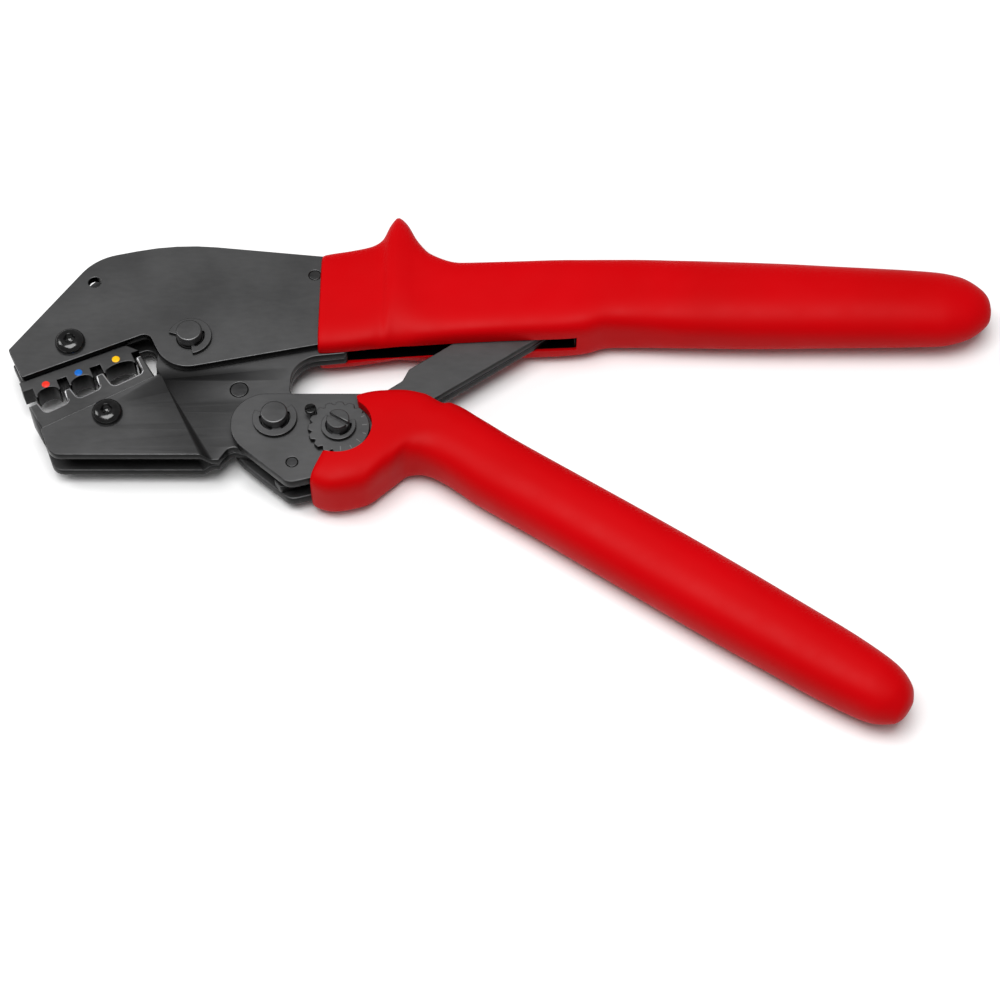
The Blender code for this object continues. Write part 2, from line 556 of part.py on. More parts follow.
def lower_grip(owner):
    """A moulded sleeve over the lower handle, with a saddle behind the wheel."""
    neck = [((42.6, -18.6), (32.0, -43.2), 7.3, 6), ((44.0, -17.5), (32.8, -44.6), 8.0, 5),
            ((48.5, -16.3), (37.4, -46.0), GRIP_HALF, 4.5), ((54.0, -15.8), (44.5, -44.7), GRIP_HALF, 4),
            ((59.6, -16.9), (50.6, -39.7), GRIP_HALF, 3.8), ((64.9, -19.8), (55.4, -35.8), 8.0, 3.6),
            ((66.2, -19.5), (57.6, -35.7), 8.0, 3.5), ((67.6, -19.9), (60.0, -36.4), 8.0, 3.2)]
    rings = [oval(a, b, half, square) for a, b, half, square in neck]
    start, angle = LOWER_GRIP_START, LOWER_GRIP_ANGLE
    ribs = [(4, 8.2, -9.4, 8.0, 2.7), (14, 8.2, -10.0, 8.0, 2.5), (30, 8.6, -9.7, 8.0, 2.4),
            (LOWER_GRIP_STRAIGHT * 0.52, 9.3, -9.6, 7.9, 2.4),
            (LOWER_GRIP_STRAIGHT * 0.77, 9.2, -9.1, 7.8, 2.4), (LOWER_GRIP_STRAIGHT, 8.2, -7.7, 7.4, 2.3),
            (LOWER_GRIP_STRAIGHT + 6.0, 6.9, -6.5, 6.2, 2.1), (LOWER_GRIP_STRAIGHT + 9.2, 4.6, -4.6, 4.2, 2),
            (LOWER_GRIP_STRAIGHT + 10.6, 1.7, -2.2, 1.6, 2)]
    for along, left, right, half, square in ribs:
        a, b = from_line(start, angle, along, left), from_line(start, angle, along, right)
        rings.append(oval(a, b, half, square))
    grip = node("lower_grip", lofted(rings), owner, RED_PLASTIC)
    room = HANDLE_HIGH + REST_GAP
    cut(grip, slab([grown(HANDLE_OUTLINE, REST_GAP)], -room, room), "lower_grip_pocket")
    link_way = [from_line(LINK_PIVOT, 8.0, -4.0, -6.2), from_line(LINK_PIVOT, 8.0, 60.0, -6.2),
                from_line(LINK_PIVOT, 70.0, 60.0, 0), from_line(LINK_PIVOT, 70.0, 4.0, 4.0)]
    cut(grip, slab([link_way], -GAP / 2, GAP / 2), "link_way")
    cut(grip, slab([circle(LINK_PIVOT, WHEEL_R + 0.5, 40)], -GRIP_HALF - 1, GRIP_HALF + 1), "wheel_recess")


def pawl_body(handle):
    """The sprung ratchet pawl between the handle plates; its tip stands off the link's teeth."""
    owner = body("ratchet_pawl", PAWL_PIVOT, handle)
    towards = 39.7
    outline = rounded([(*from_line(PAWL_PIVOT, towards, a, b), r) for a, b, r in (
        (4.6, 0.6, 0.2), (1.5, 3.2, 2.6), (-2.0, 2.8, 2.0), (-5.0, 1.2, 0.6), (-5.0, -1.4, 0.6),
        (-1.8, -2.8, 2.0), (1.8, -2.9, 2.4), (4.6, -0.6, 0.2))])
    hole = circle(PAWL_PIVOT, PAWL_PIN_R + RUNNING, 20)
    node("ratchet_pawl", slab([outline, hole], -INNER_HIGH, 0.4), owner, DIE_STEEL)
    return owner


def pawl_spring(owner):
    """A leg spring round the pawl's pin, above the pawl, with one leg on the post."""
    wire, coil, low, high = 0.25, PAWL_PIN_R + 0.6, 0.95, INNER_HIGH - 0.3
    turns, per_turn = 2.25, 14
    count = int(turns * per_turn)
    path = []
    reach = Vector(SPRING_POST) - Vector(PAWL_PIVOT)
    heading = math.degrees(math.atan2(reach.y, reach.x))
    for k in range(count + 1):
        share = k / count
        x, y = polar(PAWL_PIVOT, coil, heading - 90 - 360 * turns * (1 - share))
        path.append(Vector((x, y, low + (high - low) * share)))
    ahead = Vector(polar((0, 0), 1, heading))
    for step in (3.0, reach.length - 1.6):
        path.append(Vector((path[count].x + ahead.x * step, path[count].y + ahead.y * step, high)))
    node("pawl_spring", tube(path, wire, 6), owner, SPRING_STEEL)


def tube(path, radius, sides):
    """A round wire along a path whose bends all lie nearly flat."""
    rings = []
    for i, point in enumerate(path):
        ahead = (path[min(i + 1, len(path) - 1)] - path[max(i - 1, 0)]).normalized()
        across = ahead.cross(Vector((0, 0, 1))).normalized()
        up = across.cross(ahead)
        rings.append([point + (across * math.cos(a) + up * math.sin(a)) * radius
                      for a in [2 * math.pi * k / sides for k in range(sides)]])
    return lofted(rings)


def wheel_body(handle):
    owner = body("adjusting_wheel", LINK_PIVOT, handle)
    rim = []
    pitch = 360 / WHEEL_NOTCHES
    for k in range(WHEEL_NOTCHES):
        middle = 146 + (k + 0.5) * pitch
        notched = not plain_sector(middle)
        for share in (-0.5, -0.3, -0.12, 0.12, 0.3):
            deep = 0.85 if notched and abs(share) > 0.4 else (0.35 if notched and abs(share) > 0.25 else 0)
            rim.append(polar(LINK_PIVOT, WHEEL_R - deep, middle + share * pitch))
    bore = circle(LINK_PIVOT, BOLT_R + RUNNING)
    node("adjusting_wheel", slab([rim, bore], WHEEL_LOW, WHEEL_HIGH), owner, STEEL)
    bolt(owner)
    return owner


def plain_sector(degrees):
    """The part of the rim that carries the dial has no notches."""
    return (degrees + 150) % 360 < 170


def bolt(owner):
    """The slotted bolt that the link turns on; the part inside the link is off centre."""
    groove = WHEEL_HIGH + PLAY / 2
    after = groove + CLIP + PLAY
    top = after + BOLT_PROUD
    under = -(HANDLE_HIGH + PLAY)
    neck = BOLT_R - 0.5
    mid = GAP / 2
    lower = [(0, under - PIN_HEAD), (BOLT_R + PIN_HEAD_WIDER, under - PIN_HEAD),
             (BOLT_R + PIN_HEAD_WIDER, under), (BOLT_R, under), (BOLT_R, -mid)]
    upper = [(BOLT_R, mid), (BOLT_R, groove), (neck, groove), (neck, after), (BOLT_R, after),
             (BOLT_R, top - 0.3), (BOLT_R - 0.3, top), (0, top)]
    shaft = turned(lower + upper, LINK_PIVOT)
    item = node("eccentric_bolt", shaft, owner, BLACK_STEEL)
    cam_at = polar(LINK_PIVOT, ECCENTRICITY, LINK_ANGLE)
    cam = node("eccentric_cam", slab([circle(cam_at, BOLT_R + 0.1)], -mid + 0.1, mid - 0.1), owner, None)
    cam.hide_render = True
    cam.display_type = "WIRE"
    step = item.modifiers.new("cam", "BOOLEAN")
    step.operation = "UNION"
    step.solver = "EXACT"
    step.object = cam
    cut(item, screw_slot(LINK_PIVOT, 2 * BOLT_R + 1, 0.9, top - 1.1, top + 1, -32), "bolt_slot")
    clip("eccentric_bolt", LINK_PIVOT, neck + RUNNING, BOLT_CLIP_R, groove + PLAY / 2, 80, owner)


def link_body(handle):
    """The toggle link: two plates back to back, with ratchet teeth round its near end."""
    owner = body("link", LINK_PIVOT, handle)
    tooth_from, tooth_to, teeth = 188, 212, 5
    head, root, tip = 7.4, 8.2, 9.2
    line = [(21.0, -4.3), (LINK_LENGTH - 4.0, -5.0), (LINK_LENGTH + 3.6, -3.8), (LINK_LENGTH + 5.2, 0.4),
            (LINK_LENGTH + 3.8, 4.6), (LINK_LENGTH - 2.0, 6.6), (25.5, 6.6), (22.2, 4.7), (6.5, 4.6)]
    line += [polar((0, 0), head, a) for a in range(52, tooth_from - 4, 12)]
    pitch = (tooth_to - tooth_from) / teeth
    for k in range(teeth):
        start = tooth_from + k * pitch
        line += [polar((0, 0), root, start), polar((0, 0), tip, start + pitch * 0.5)]
    line.append(polar((0, 0), root, tooth_to))
    line += [polar((0, 0), head, a) for a in range(tooth_to + 8, 326, 12)]
    outline = [from_line(LINK_PIVOT, LINK_ANGLE, *p) for p in line]
    holes = [circle(LINK_PIVOT, BOLT_R + 0.1 + ECCENTRICITY + 0.1),
             circle(ANCHOR, ANCHOR_PIN_R + ANCHOR_HOLE_PLAY, 24),
             circle(LINK_RIVET, RIVET_R + RUNNING, 20)]
    pair("link_plate", [outline, *holes], INNER_LOW, INNER_HIGH, owner, STEEL)
    rivet("link_rivet", LINK_RIVET, RIVET_R, INNER_HIGH, owner)


for old in list(bpy.data.objects):
    bpy.data.objects.remove(old)

frame = frame_body()
jaw = jaw_body(frame)
handle = handle_body(jaw)
pawl_body(handle)
pawl_spring(handle)
wheel_body(handle)
link_body(handle)
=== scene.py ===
"""Lever crimping pliers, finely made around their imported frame, lying open on a pale studio floor.

Plan lengths are in millimetres from the main pivot, X along the tool and Y away from the lower handle.
Heights are in millimetres from the middle plane of the tool. A piece turns them into metres as it is made.
"""
import json
import math

import bmesh
import bpy
import numpy as np
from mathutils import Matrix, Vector
from mathutils.geometry import tessellate_polygon

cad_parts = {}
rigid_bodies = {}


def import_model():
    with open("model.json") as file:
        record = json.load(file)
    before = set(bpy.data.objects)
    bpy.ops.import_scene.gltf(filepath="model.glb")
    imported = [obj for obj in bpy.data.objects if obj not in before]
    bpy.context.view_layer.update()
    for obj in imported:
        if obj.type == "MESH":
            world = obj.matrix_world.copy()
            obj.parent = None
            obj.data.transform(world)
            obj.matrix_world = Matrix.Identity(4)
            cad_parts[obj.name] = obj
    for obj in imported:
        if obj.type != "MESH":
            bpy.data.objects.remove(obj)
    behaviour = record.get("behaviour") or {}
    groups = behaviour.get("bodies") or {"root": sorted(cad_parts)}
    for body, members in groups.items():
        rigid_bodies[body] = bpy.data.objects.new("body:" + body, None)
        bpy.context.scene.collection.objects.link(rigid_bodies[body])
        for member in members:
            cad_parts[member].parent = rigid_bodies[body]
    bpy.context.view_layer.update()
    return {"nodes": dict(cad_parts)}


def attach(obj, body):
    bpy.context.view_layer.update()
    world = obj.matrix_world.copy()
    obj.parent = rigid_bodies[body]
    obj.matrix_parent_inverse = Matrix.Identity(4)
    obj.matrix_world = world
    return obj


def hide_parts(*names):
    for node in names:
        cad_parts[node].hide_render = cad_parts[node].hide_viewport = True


for start_object in list(bpy.data.objects):
    bpy.data.objects.remove(start_object)

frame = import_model()


# Frame plates. Two punched and ground steel plates, burnished dark, that carry the fixed die and the
# main pin and run back inside the upper grip. Tumbling rounds their edges. The cut walls are painted near
# black as shade, and the rounded edges take a tone between, partly wear and partly painted sheen.
MM = 0.001
MAIN_PIVOT = (-79.25, 32.9)
MIDDLE_HEIGHT = 8.2
GAP = 4.9
PLAY = 0.2
FRAME_HIGH = 4.55
MOUTH_ANGLE = 24.7
MOUTH_CORNER = (-41.2, -12.3)
MAIN_PIN_R = 3.25
RIVET_R = 1.55
FRONT_RIVET = (30.6, 20.0)
NOSE_HOLE = (-25.7, 17.7)
NOSE_HOLE_R = 1.6
SCREW_R = 2.0
EDGE_ROUND = 0.2
REST_GAP = 0.3
RUNNING = 0.1
ARC_STEP = 5.0
NO_BEND = 0.02


def make_piece(name, shape, finishes):
    """Make a mesh object at the origin from points in millimetres, moved into the tool's frame in metres.

    A shape is (points, faces, slots, flat): slots gives each face its finish, and flat marks the plane
    faces, which keep sharp edges round them so that they don't shade into the rounded ones.
    """
    points, faces, slots, flat = shape
    mesh = bpy.data.meshes.new(name)
    placed = (np.asarray(points, float) + [*MAIN_PIVOT, MIDDLE_HEIGHT]) * MM
    mesh.from_pydata(placed.tolist(), [], faces)
    for finish in finishes:
        mesh.materials.append(finish)
    mesh.polygons.foreach_set("material_index", np.minimum(slots, len(finishes) - 1).astype(np.int32))
    mesh.shade_smooth()
    work = bmesh.new()
    work.from_mesh(mesh)
    work.faces.ensure_lookup_table()
    for index in np.flatnonzero(flat):
        for edge in work.faces[index].edges:
            edge.smooth = False
    bmesh.ops.recalc_face_normals(work, faces=work.faces)
    work.to_mesh(mesh)
    work.free()
    piece = bpy.data.objects.new(name, mesh)
    bpy.context.scene.collection.objects.link(piece)
    return piece


def settle(piece, body, slot, *nodes):
    """The piece rides on a body and stands for its CAD nodes; the slot is not used."""
    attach(piece, body)
    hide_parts(*nodes)
    return piece


def from_line(origin, degrees, along, across):
    """A point given along and across a line that starts at origin and runs at an angle."""
    c, s = math.cos(math.radians(degrees)), math.sin(math.radians(degrees))
    return origin[0] + c * along - s * across, origin[1] + s * along + c * across


def arc(centre, radius, start, end):
    """Points along a circle's arc: centre plus radius times cosine and sine of its angles in degrees."""
    count = max(2, math.ceil(abs(end - start) / ARC_STEP) + 1)
    turns = np.radians(np.linspace(start, end, count))
    return np.column_stack((centre[0] + radius * np.cos(turns), centre[1] + radius * np.sin(turns)))


def circle(centre, radius):
    """A full turn of an arc, without its last point, which repeats the first."""
    return arc(centre, radius, 0, 360)[:-1]


def rounded(corners):
    """A closed outline through corners (x, y, radius), each corner swapped for its tangent arc."""
    outline = []
    for i, (x, y, radius) in enumerate(corners):
        here = np.array((x, y))
        back = np.array(corners[i - 1][:2]) - here
        ahead = np.array(corners[(i + 1) % len(corners)][:2]) - here
        back, ahead = back / np.linalg.norm(back), ahead / np.linalg.norm(ahead)
        bend = math.pi - math.acos(np.clip(back @ ahead, -1, 1))
        if radius <= 0 or bend < NO_BEND:
            outline.append(here[None])
            continue
        centre = here + (back + ahead) / np.linalg.norm(back + ahead) * radius / math.cos(bend / 2)
        start = here + back * radius * math.tan(bend / 2) - centre
        end = here + ahead * radius * math.tan(bend / 2) - centre
        sweep = math.atan2(start[0] * end[1] - start[1] * end[0], start @ end)
        turns = np.linspace(0, sweep, max(2, math.ceil(math.degrees(bend) / ARC_STEP) + 1))
        quarter_on = (-start[1], start[0])
        outline.append(centre + np.outer(np.cos(turns), start) + np.outer(np.sin(turns), quarter_on))
    return np.vstack(outline)


def moved_inwards(loop, distance):
    """A closed outline moved to its inside: each point slides along the mean normal of its two edges."""
    after = np.roll(loop, -1, 0)
    area = np.sum(loop[:, 0] * after[:, 1] - after[:, 0] * loop[:, 1])
    ahead = after - loop
    ahead /= np.maximum(np.linalg.norm(ahead, axis=1, keepdims=True), 1e-9)
    both = ahead + np.roll(ahead, 1, 0)
    normal = np.column_stack((-both[:, 1], both[:, 0]))
    normal /= np.maximum(np.linalg.norm(normal, axis=1, keepdims=True), 1e-9)
    lean = np.clip(np.sum(normal * np.column_stack((-ahead[:, 1], ahead[:, 0])), 1), 0.5, 1)
    return loop + np.sign(area) * distance * normal / lean[:, None]


def plate(loops, low, high, edge=EDGE_ROUND, steps=3):
    """A flat plate, as a profile carried along each of its outlines.

    The profile is a quarter circle up from the lower face, a straight wall and a quarter circle onto the
    upper face; a point of it lies inside the outline by edge times one minus the sine of its turn. The
    faces are triangles between the innermost outlines. The first loop is the outline, the others are holes.
    Slot 0 is the faces, slot 1 the wall and slot 2 the rounded edges.
    """
    turns = np.linspace(0, math.pi / 2, steps + 1)
    inset = edge * (1 - np.sin(turns))
    rise = edge * (1 - np.cos(turns))
    insets = np.concatenate((inset, inset[::-1]))
    heights = np.concatenate((low + rise, high - rise[::-1]))
    points, faces, slots, lowest, highest = [], [], [], [], []
    first = 0
    for k, loop in enumerate(loops):
        count = len(loop)
        sign = 1 if k == 0 else -1
        rings = [moved_inwards(loop, sign * i) for i in insets]
        points += [np.column_stack((ring, np.full(count, z))) for ring, z in zip(rings, heights)]
        here = first + np.arange(count)
        after = first + (np.arange(count) + 1) % count
        for r in range(len(heights) - 1):
            faces += (np.column_stack((here, after, after + count, here + count)) + r * count).tolist()
            slots += [1 if r == steps else 2] * count
        lowest.append((rings[0], first))
        highest.append((rings[-1], first + (len(heights) - 1) * count))
        first += len(heights) * count
    walls = len(faces)
    for rims in (lowest, highest):
        numbers = np.concatenate([start + np.arange(len(ring)) for ring, start in rims])
        outlines = [[Vector((x, y, 0)) for x, y in ring] for ring, _ in rims]
        faces += numbers[np.array(tessellate_polygon(outlines))].tolist()
    slots += [0] * (len(faces) - walls)
    return np.vstack(points), faces, np.array(slots), np.arange(len(faces)) >= walls


def finish_with_nodes(name, build):
    """A material whose node tree is laid out by build(new, link, shader)."""
    made = bpy.data.materials.new(name)
    made.use_nodes = True
    tree = made.node_tree
    build(tree.nodes.new, tree.links.new, tree.nodes["Principled BSDF"])
    return made


def noise_on_object(new, link, scale, detail, stretch=(1, 1, 1)):
    """Noise on object coordinates, stretched along the axes."""
    where = new("ShaderNodeTexCoord")
    placed = new("ShaderNodeMapping")
    placed.inputs["Scale"].default_value = stretch
    noise = new("ShaderNodeTexNoise")
    noise.inputs["Scale"].default_value = scale
    noise.inputs["Detail"].default_value = detail
    link(where.outputs["Object"], placed.inputs["Vector"])
    link(placed.outputs["Vector"], noise.inputs["Vector"])
    return noise.outputs["Fac"]


def colour_between(new, link, source, low, high, dark, light):
    """A value between low and high turned into a colour between dark and light."""
    ramp = new("ShaderNodeValToRGB")
    ramp.color_ramp.elements[0].position = low
    ramp.color_ramp.elements[0].color = (*dark, 1)
    ramp.color_ramp.elements[1].position = high
    ramp.color_ramp.elements[1].color = (*light, 1)
    link(source, ramp.inputs["Fac"])
    return ramp.outputs["Color"]


def value_between(new, link, source, low, high):
    """A value around a half, as noise gives it, spread out between low and high."""
    spread = new("ShaderNodeMapRange")
    spread.inputs["From Min"].default_value = 0.3
    spread.inputs["From Max"].default_value = 0.7
    spread.inputs["To Min"].default_value = low
    spread.inputs["To Max"].default_value = high
    link(source, spread.inputs["Value"])
    return spread.outputs["Result"]


def bump_from(new, link, shader, source, strength, distance):
    """Tilt the shading by a height: the source's value times the distance in metres."""
    bump = new("ShaderNodeBump")
    bump.inputs["Strength"].default_value = strength
    bump.inputs["Distance"].default_value = distance
    link(source, bump.inputs["Height"])
    link(bump.outputs["Normal"], shader.inputs["Normal"])


def steel_finish(name, dark, light, smoothest, roughest, grain=0.10):
    """Burnished steel: a cloudy tone, faint rubbed streaks, a fine tumbled grain and an uneven sheen."""
    def build(new, link, shader):
        clouds = noise_on_object(new, link, 60, 5)
        streaks = noise_on_object(new, link, 320, 3, (1, 2.5, 1))
        tumbled = noise_on_object(new, link, 2400, 2)
        mixed = new("ShaderNodeMath")
        mixed.operation = "MULTIPLY_ADD"
        mixed.inputs[1].default_value = 0.4
        link(streaks, mixed.inputs[0])
        part = new("ShaderNodeMath")
        part.operation = "MULTIPLY"
        part.inputs[1].default_value = 0.6
        link(clouds, part.inputs[0])
        link(part.outputs[0], mixed.inputs[2])
        tone = colour_between(new, link, mixed.outputs[0], 0.36, 0.64, dark, light)
        link(tone, shader.inputs["Base Color"])
        link(value_between(new, link, clouds, smoothest, roughest), shader.inputs["Roughness"])
        shader.inputs["Metallic"].default_value = 1.0
        bump_from(new, link, shader, tumbled, grain, 0.00003)
    return finish_with_nodes(name, build)


burnished = steel_finish("burnished_steel", (0.092, 0.092, 0.093), (0.108, 0.108, 0.109), 0.40, 0.47)
# Plate walls: near black, painted shade that stands in for the shade the cut walls fall in.
painted_shade_wall = steel_finish("painted_shade_wall_steel", (0.006, 0.006, 0.006), (0.012, 0.012, 0.012), 0.34, 0.48)
# Rounded-edge finish, between the faces' tone and the walls': partly wear, partly painted sheen, set to how
# bright the edge lines look. The flush rivets are made wholly in it.
edge_wear_and_sheen = steel_finish("edge_wear_and_sheen", (0.045, 0.045, 0.046), (0.09, 0.09, 0.091), 0.34, 0.46)
plate_finishes = (burnished, painted_shade_wall, edge_wear_and_sheen)


def plate_pair(name, loops, low, high, body, change=None):
    """The plate above the middle plane and its mirror image below, each standing for its CAD plate."""
    for word, heights, side in (("top", (low, high), 1), ("bottom", (-high, -low), -1)):
        piece = make_piece(f"{name}_{word}_fine", plate(loops, *heights), plate_finishes)
        if change:
            change(piece.data, side)
        settle(piece, body, "burnished_steel", f"{name}_{word}")


UPPER_SCREW = from_line(MOUTH_CORNER, MOUTH_ANGLE, 14.6, 5.0)
frame_outline = rounded((
    (-45.4, -3.7, 0.6), (*MOUTH_CORNER, 0.8), (*from_line(MOUTH_CORNER, MOUTH_ANGLE, 33.6, 0), 2.2),
    (-5.0, -10.0, 8.8), (32.5, -2.0, 3.0), (38.0, 1.0, 6.0), (96.0, 4.6, 20.0), (150.0, 7.2, 3.0),
    (150.0, 17.5, 3.0), (60.0, 21.2, 20.0), (38.0, 22.4, 2.0), (33.5, 26.0, 1.5), (-5.5, 30.3, 60.0),
    (-26.2, 25.3, 14.0)))
frame_holes = [circle((0, 0), MAIN_PIN_R + RUNNING), circle(NOSE_HOLE, NOSE_HOLE_R),
               circle(UPPER_SCREW, SCREW_R + RUNNING), circle(FRONT_RIVET, RIVET_R)]
plate_pair("frame_plate", [frame_outline, *frame_holes], GAP / 2, FRAME_HIGH, "frame")


# Flush rivets. Short steel pins pressed through a plate pair and ground off level with it, each inside a
# spacer tube that holds the plates apart.
RIVET_SUNK = 0.02
RIVET_EASE = 0.18
RIVET_FIT = 0.06


def ring_faces(rings, around):
    """Four-sided faces between neighbouring rings of points, each ring closed on itself."""
    ring, spot = np.meshgrid(np.arange(rings - 1), np.arange(around), indexing="ij")
    after = (spot + 1) % around
    corners = np.stack((ring, ring, ring + 1, ring + 1), 2) * around
    return (corners + np.stack((spot, after, after, spot), 2)).reshape(-1, 4).tolist()


def turned(profile, centre, segments=72, corner_share=None, start=0.0):
    """A solid of revolution: each profile point (radius, height) goes once round a vertical axis.

    corner_share, from 0 to 1 for each point, draws its circle towards a hexagon. The radius is scaled by
    the share times the cosine of 30 degrees over the cosine of the turn within its sixth, plus one less
    the share.
    """
    profile = np.asarray(profile, float)
    turns = math.radians(start) + np.linspace(0, 2 * math.pi, segments, endpoint=False)
    sixth = np.mod(turns - math.radians(start), math.pi / 3) - math.pi / 6
    hexagon = math.cos(math.pi / 6) / np.cos(sixth)
    share = np.zeros(len(profile)) if corner_share is None else np.asarray(corner_share, float)
    reach = profile[:, :1] * ((1 - share)[:, None] + share[:, None] * hexagon[None])
    x = centre[0] + reach * np.cos(turns)
    y = centre[1] + reach * np.sin(turns)
    z = np.repeat(profile[:, 1:2], segments, 1)
    points = np.stack((x, y, z), 2).reshape(-1, 3)
    faces = ring_faces(len(profile), segments)
    level = np.abs(np.diff(profile[:, 1])) < 1e-6
    flat = np.repeat(level, segments)
    bottom = list(range(segments))[::-1]
    top = list(range((len(profile) - 1) * segments, len(profile) * segments))
    faces += [bottom, top]
    return points, faces, np.zeros(len(faces), int), np.concatenate((flat, [True, True]))


def stub(radius, low, high, ease):
    """The profile of a round pin with rounded ends, from the bottom up, without its centre points."""
    return rounded(((0, low, 0), (radius, low, ease), (radius, high, ease), (0, high, 0)))[1:-1]


def flush_rivet(name, centre, radius, half, body):
    """A round pin a hair shorter than the plates it goes through."""
    shape = turned(stub(radius, -half + RIVET_SUNK, half - RIVET_SUNK, RIVET_EASE), centre)
    settle(make_piece(f"{name}_fine", shape, (edge_wear_and_sheen,)), body, "burnished_steel", name)


flush_rivet("frame_rivet_front", FRONT_RIVET, RIVET_R - RIVET_FIT, FRAME_HIGH, "frame")


# Fixed die. A milled steel insert seated between the frame plates; its tongue is gripped by the die screw,
# and its face has three arches with slots between them that the pillars of the other die run in.
DIE_LENGTH = 29.7
UPPER_DIE_START = -0.9
UPPER_DIE_HALF = 2.85
TONGUE_HALF = 2.35
TONGUE_DEPTH = 8.0
TONGUE_EASE = 0.1
PILLARS = ((-1.4, 1.3), (8.2, 10.1), (16.9, 19.1), (28.0, 29.7))
NEST_FLOORS = (3.7, 3.6, 2.5)
PILLAR_TOP = 7.6
SLOT_TOP = 3.0
SLOT_PLAY = 0.3
RIM = 6.0
RIM_LAND = 0.45
ARCH_TOPS = (4.2, 4.3, 4.6)
DIE_EASE = 0.14

die_face = steel_finish("die_face", (0.098, 0.098, 0.099), (0.122, 0.122, 0.123), 0.34, 0.44, 0.14)
# Die walls: near black, painted shade that darkens the nests and slots as if they were in shade.
die_painted_shade_wall = steel_finish("die_painted_shade_wall", (0.005, 0.005, 0.005), (0.010, 0.010, 0.010), 0.30, 0.45)
bright_edge = steel_finish("bright_die_edge", (0.60, 0.60, 0.61), (0.85, 0.85, 0.86), 0.46, 0.60)


def joined(*shapes):
    """Several shapes as one: their points follow on from each other."""
    points, faces, first = [], [], 0
    for shape in shapes:
        points.append(shape[0])
        faces += [[i + first for i in face] for face in shape[1]]
        first += len(shape[0])
    slots, flat = (np.concatenate([shape[k] for shape in shapes]) for k in (2, 3))
    return np.vstack(points), faces, slots, flat


def on_line(origin, degrees, points):
    """An outline given along and across a line, as plan points."""
    return np.array([from_line(origin, degrees, *point) for point in points])


def upper_die_line():
    """The arches: each is a half ellipse, its half width times the cosine and its height times the sine."""
    line = [(UPPER_DIE_START, -REST_GAP / 2), (UPPER_DIE_START, -SLOT_TOP)]
    for k, top in enumerate(ARCH_TOPS):
        left, right = PILLARS[k][1] + SLOT_PLAY, PILLARS[k + 1][0] - SLOT_PLAY
        middle, reach = (left + right) / 2, (right - left) / 2 - RIM_LAND
        turns = np.linspace(0, math.pi, 25)[1:-1]
        line += [(left, -SLOT_TOP), (left, -RIM), (left + RIM_LAND, -RIM)]
        line += list(zip(middle - reach * np.cos(turns), -RIM + (RIM - top) * np.sin(turns)))
        line += [(right - RIM_LAND, -RIM), (right, -RIM), (right, -SLOT_TOP)]
    return line + [(DIE_LENGTH, -SLOT_TOP), (DIE_LENGTH - 2.4, -REST_GAP / 2)]


upper_face = on_line(MOUTH_CORNER, MOUTH_ANGLE, upper_die_line())
upper_tongue = on_line(MOUTH_CORNER, MOUTH_ANGLE, (
    (1.0, -REST_GAP), (1.0, TONGUE_DEPTH), (DIE_LENGTH - 3.0, TONGUE_DEPTH), (DIE_LENGTH - 3.0, -REST_GAP)))
upper_die_shape = joined(plate([upper_face], -UPPER_DIE_HALF, UPPER_DIE_HALF, DIE_EASE),
                         plate([upper_tongue], -TONGUE_HALF, TONGUE_HALF, TONGUE_EASE))
upper_die = make_piece("upper_die_fine", upper_die_shape, (die_face, die_painted_shade_wall, edge_wear_and_sheen))
settle(upper_die, "frame", "die_steel", "upper_die")


# Size marks. Three drops of enamel, red, blue and yellow, that name the nests. They are dabbed on the flat
# of the fixed die, each above its arch, and dry to low domes.
MARK_R = 1.0
MARK_RISE = 0.2
MARK_SUNK = 0.02
MARK_DOWN = 3.2


def enamel(name, colour):
    """Glossy enamel, mottled between its colour and 0.82 of it."""
    def build(new, link, shader):
        mottled = noise_on_object(new, link, 1500, 3)
        darker = tuple(0.82 * c for c in colour)
        link(colour_between(new, link, mottled, 0.35, 0.65, darker, colour), shader.inputs["Base Color"])
        link(value_between(new, link, mottled, 0.25, 0.4), shader.inputs["Roughness"])
        shader.inputs["Specular IOR Level"].default_value = 0.2
        bump_from(new, link, shader, mottled, 0.15, 0.00004)
    return finish_with_nodes(name, build)


for word, along, colour in (("red", 5.0, (0.80, 0.035, 0.02)), ("blue", 13.6, (0.006, 0.13, 0.52)),
                            ("yellow", 23.5, (0.90, 0.48, 0.005))):
    spot = from_line(MOUTH_CORNER, MOUTH_ANGLE, along, -MARK_DOWN)
    swell = np.linspace(0, math.pi / 2, 9)[:-1]
    drop = np.column_stack((MARK_R * np.cos(swell), UPPER_DIE_HALF - MARK_SUNK + MARK_RISE * np.sin(swell)))
    mark = make_piece(f"{word}_mark_fine", turned(drop, spot, 48), (enamel(f"{word}_enamel", colour),))
    settle(mark, "frame", f"mark_{word}", f"{word}_die_mark")


# Die screws. Steel button-head screws with hexagon sockets, blackened and oiled, one through each die and
# the plate pair on either side of it.
SCREW_HEAD_R = 3.8
SCREW_HEAD = 2.2
SCREW_RIM = 0.45
SCREW_TOP_R = 1.75
SCREW_EASE = 0.12
SCREW_CHAMFER = 0.3
SOCKET_R = 1.45
SOCKET_WALL = 1.25
SOCKET_DEPTH = 1.55
HEX_TURN = 11.25


def black_oxide(new, link, shader):
    """Oiled black oxide: almost black, glossy, with a faint rubbed lightening."""
    rubbed = noise_on_object(new, link, 500, 4)
    link(colour_between(new, link, rubbed, 0.4, 0.75, (0.002, 0.002, 0.002), (0.006, 0.006, 0.006)),
         shader.inputs["Base Color"])
    link(value_between(new, link, rubbed, 0.10, 0.22), shader.inputs["Roughness"])
    shader.inputs["Specular IOR Level"].default_value = 0.6


oxide = finish_with_nodes("black_oxide", black_oxide)


